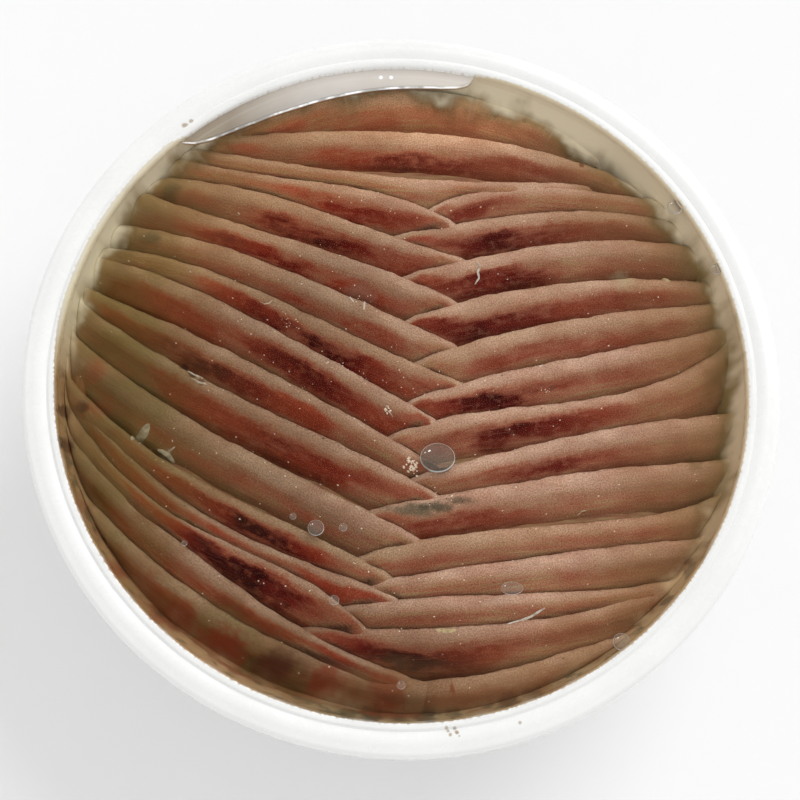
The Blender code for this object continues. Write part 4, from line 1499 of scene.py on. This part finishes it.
def build_scraps(kind, tree, skin, thickness, ragged, material):
    """Strips of one kind, draped over the fillets."""
    splines = []
    for scrap in [scrap for scrap in SCRAPS if scrap.kind == kind]:
        points = []
        for first, last in zip(scrap.places, scrap.places[1:]):
            steps = max(int(math.dist(first, last) / SCRAP_STEP), 2)
            for step in range(steps + (last == scrap.places[-1])):
                x, y = (a + (b - a) * (step / steps) for a, b in zip(first, last))
                points.append(skin.over(x, y, SCRAP_LIFT))
        spline = []
        for index, place in enumerate(points):
            share = index / (len(points) - 1)
            spline.append((place, scrap.width * MM * (0.25 + 0.75 * math.sin(math.pi * share) ** 0.6), 0.0))
        splines.append(spline)
    paths = curve_object(f"{kind}_paths", splines)
    values = {"Paths": paths, "Thickness": thickness, "Ragged": ragged, "Skin": material}
    piece = grow(f"{kind}_scraps", tree, values)
    bpy.data.objects.remove(paths)
    return piece


def build_stage():
    """Floor, lights and camera."""
    work = bmesh.new()
    bmesh.ops.create_grid(work, x_segments=1, y_segments=1, size=2.0)
    mesh_piece("table_top", work, floor_material())
    scene = bpy.context.scene
    for lamp in LAMPS:
        light = bpy.data.lights.new(lamp.name, "SUN")
        light.energy = lamp.strength
        light.angle = lamp.spread
        holder = bpy.data.objects.new(lamp.name, light)
        holder.rotation_euler = lamp.source.to_track_quat("Z", "Y").to_euler()
        scene.collection.objects.link(holder)
    world = bpy.data.worlds.new("studio")
    world.use_nodes = True
    background = world.node_tree.nodes["Background"]
    background.inputs["Color"].default_value = WHITE
    background.inputs["Strength"].default_value = SKY_STRENGTH
    scene.world = world
    scene.view_settings.view_transform = "Standard"
    flat = math.cos(CAMERA_ELEVATION)
    level = Vector((math.sin(CAMERA_AZIMUTH), -math.cos(CAMERA_AZIMUTH), 0.0))
    back = level * flat + Vector((0.0, 0.0, math.sin(CAMERA_ELEVATION)))
    right = Vector((1.0, 0.0, 0.0))
    right = (right - back * right.dot(back)).normalized()
    data = bpy.data.cameras.new("camera")
    data.lens = CAMERA_LENS
    camera = bpy.data.objects.new("camera", data)
    placed = Matrix((right, back.cross(right), back)).transposed().to_4x4()
    placed.translation = CAMERA_TARGET + back * CAMERA_DISTANCE
    camera.matrix_world = placed
    scene.collection.objects.link(camera)
    scene.camera = camera


def attach(piece, slot, *nodes):
    """The piece moves with the tub and hides the CAD nodes that it stands for; its slot is not used."""
    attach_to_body(piece, "root")
    if nodes:
        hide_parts(*nodes)


def build_scene():
    haze = oil_haze_group()
    mottle = mottle_group()
    spot = spot_group()
    cloud = cloud_group(spot)
    build_stage()
    attach(build_tub(tub_material(cloud, mottle, spot)), "tub", "tub")
    attach(build_film(film_material()), "film", "film")
    attach(build_oil(oil_material(spot)), "film")
    fillets = build_fillets(fillet_material(haze, cloud, mottle, spot))
    for piece in fillets:
        attach(piece, "fillets", "fillets")
    attach(build_core(core_material(haze, cloud, mottle)), "fillets", "fillets")
    attach(build_cloud(cloud_material(cloud, mottle)), "fillets")
    attach(build_bubbles(bubble_material()), "film")
    specks = {
        "pale": speck_material(haze, "pale_crumb", (236, 226, 212), (214, 190, 166), 0.35),
        "dark": speck_material(haze, "dark_crumb", (52, 36, 24), (70, 62, 36), 0.5),
    }
    crumbs = crumb_tree()
    for side, piece in (("right", fillets[1]), ("left", fillets[2])):
        for shade, density, more in CRUMBS:
            values = {"Density": density, "Seed": CRUMB_SEEDS[side] + more, "Skin": specks[shade]}
            attach(grow(f"{shade}_crumbs_{side}", crumbs, values, piece.data.copy()), "fillets")
    surface = Skin(fillets)
    lumps = lump_tree()
    for shade, material in specks.items():
        strewn = build_strewn(f"{shade}_crumbs_strewn", lumps, surface, shade == "dark", material)
        attach(strewn, "fillets")
    strips = scrap_tree()
    finishes = {
        "skin": speck_material(haze, "torn_skin", (190, 170, 128), (150, 130, 96), 0.45),
        "flake": speck_material(haze, "skin_flake", (206, 196, 184), (160, 146, 132), 0.35),
        "bone": speck_material(haze, "small_bone", (216, 202, 182), (150, 120, 92), 0.40),
    }
    for kind, thickness, ragged in SCRAP_KINDS:
        attach(build_scraps(kind, strips, surface, thickness, ragged, finishes[kind]), "fillets")


build_scene()
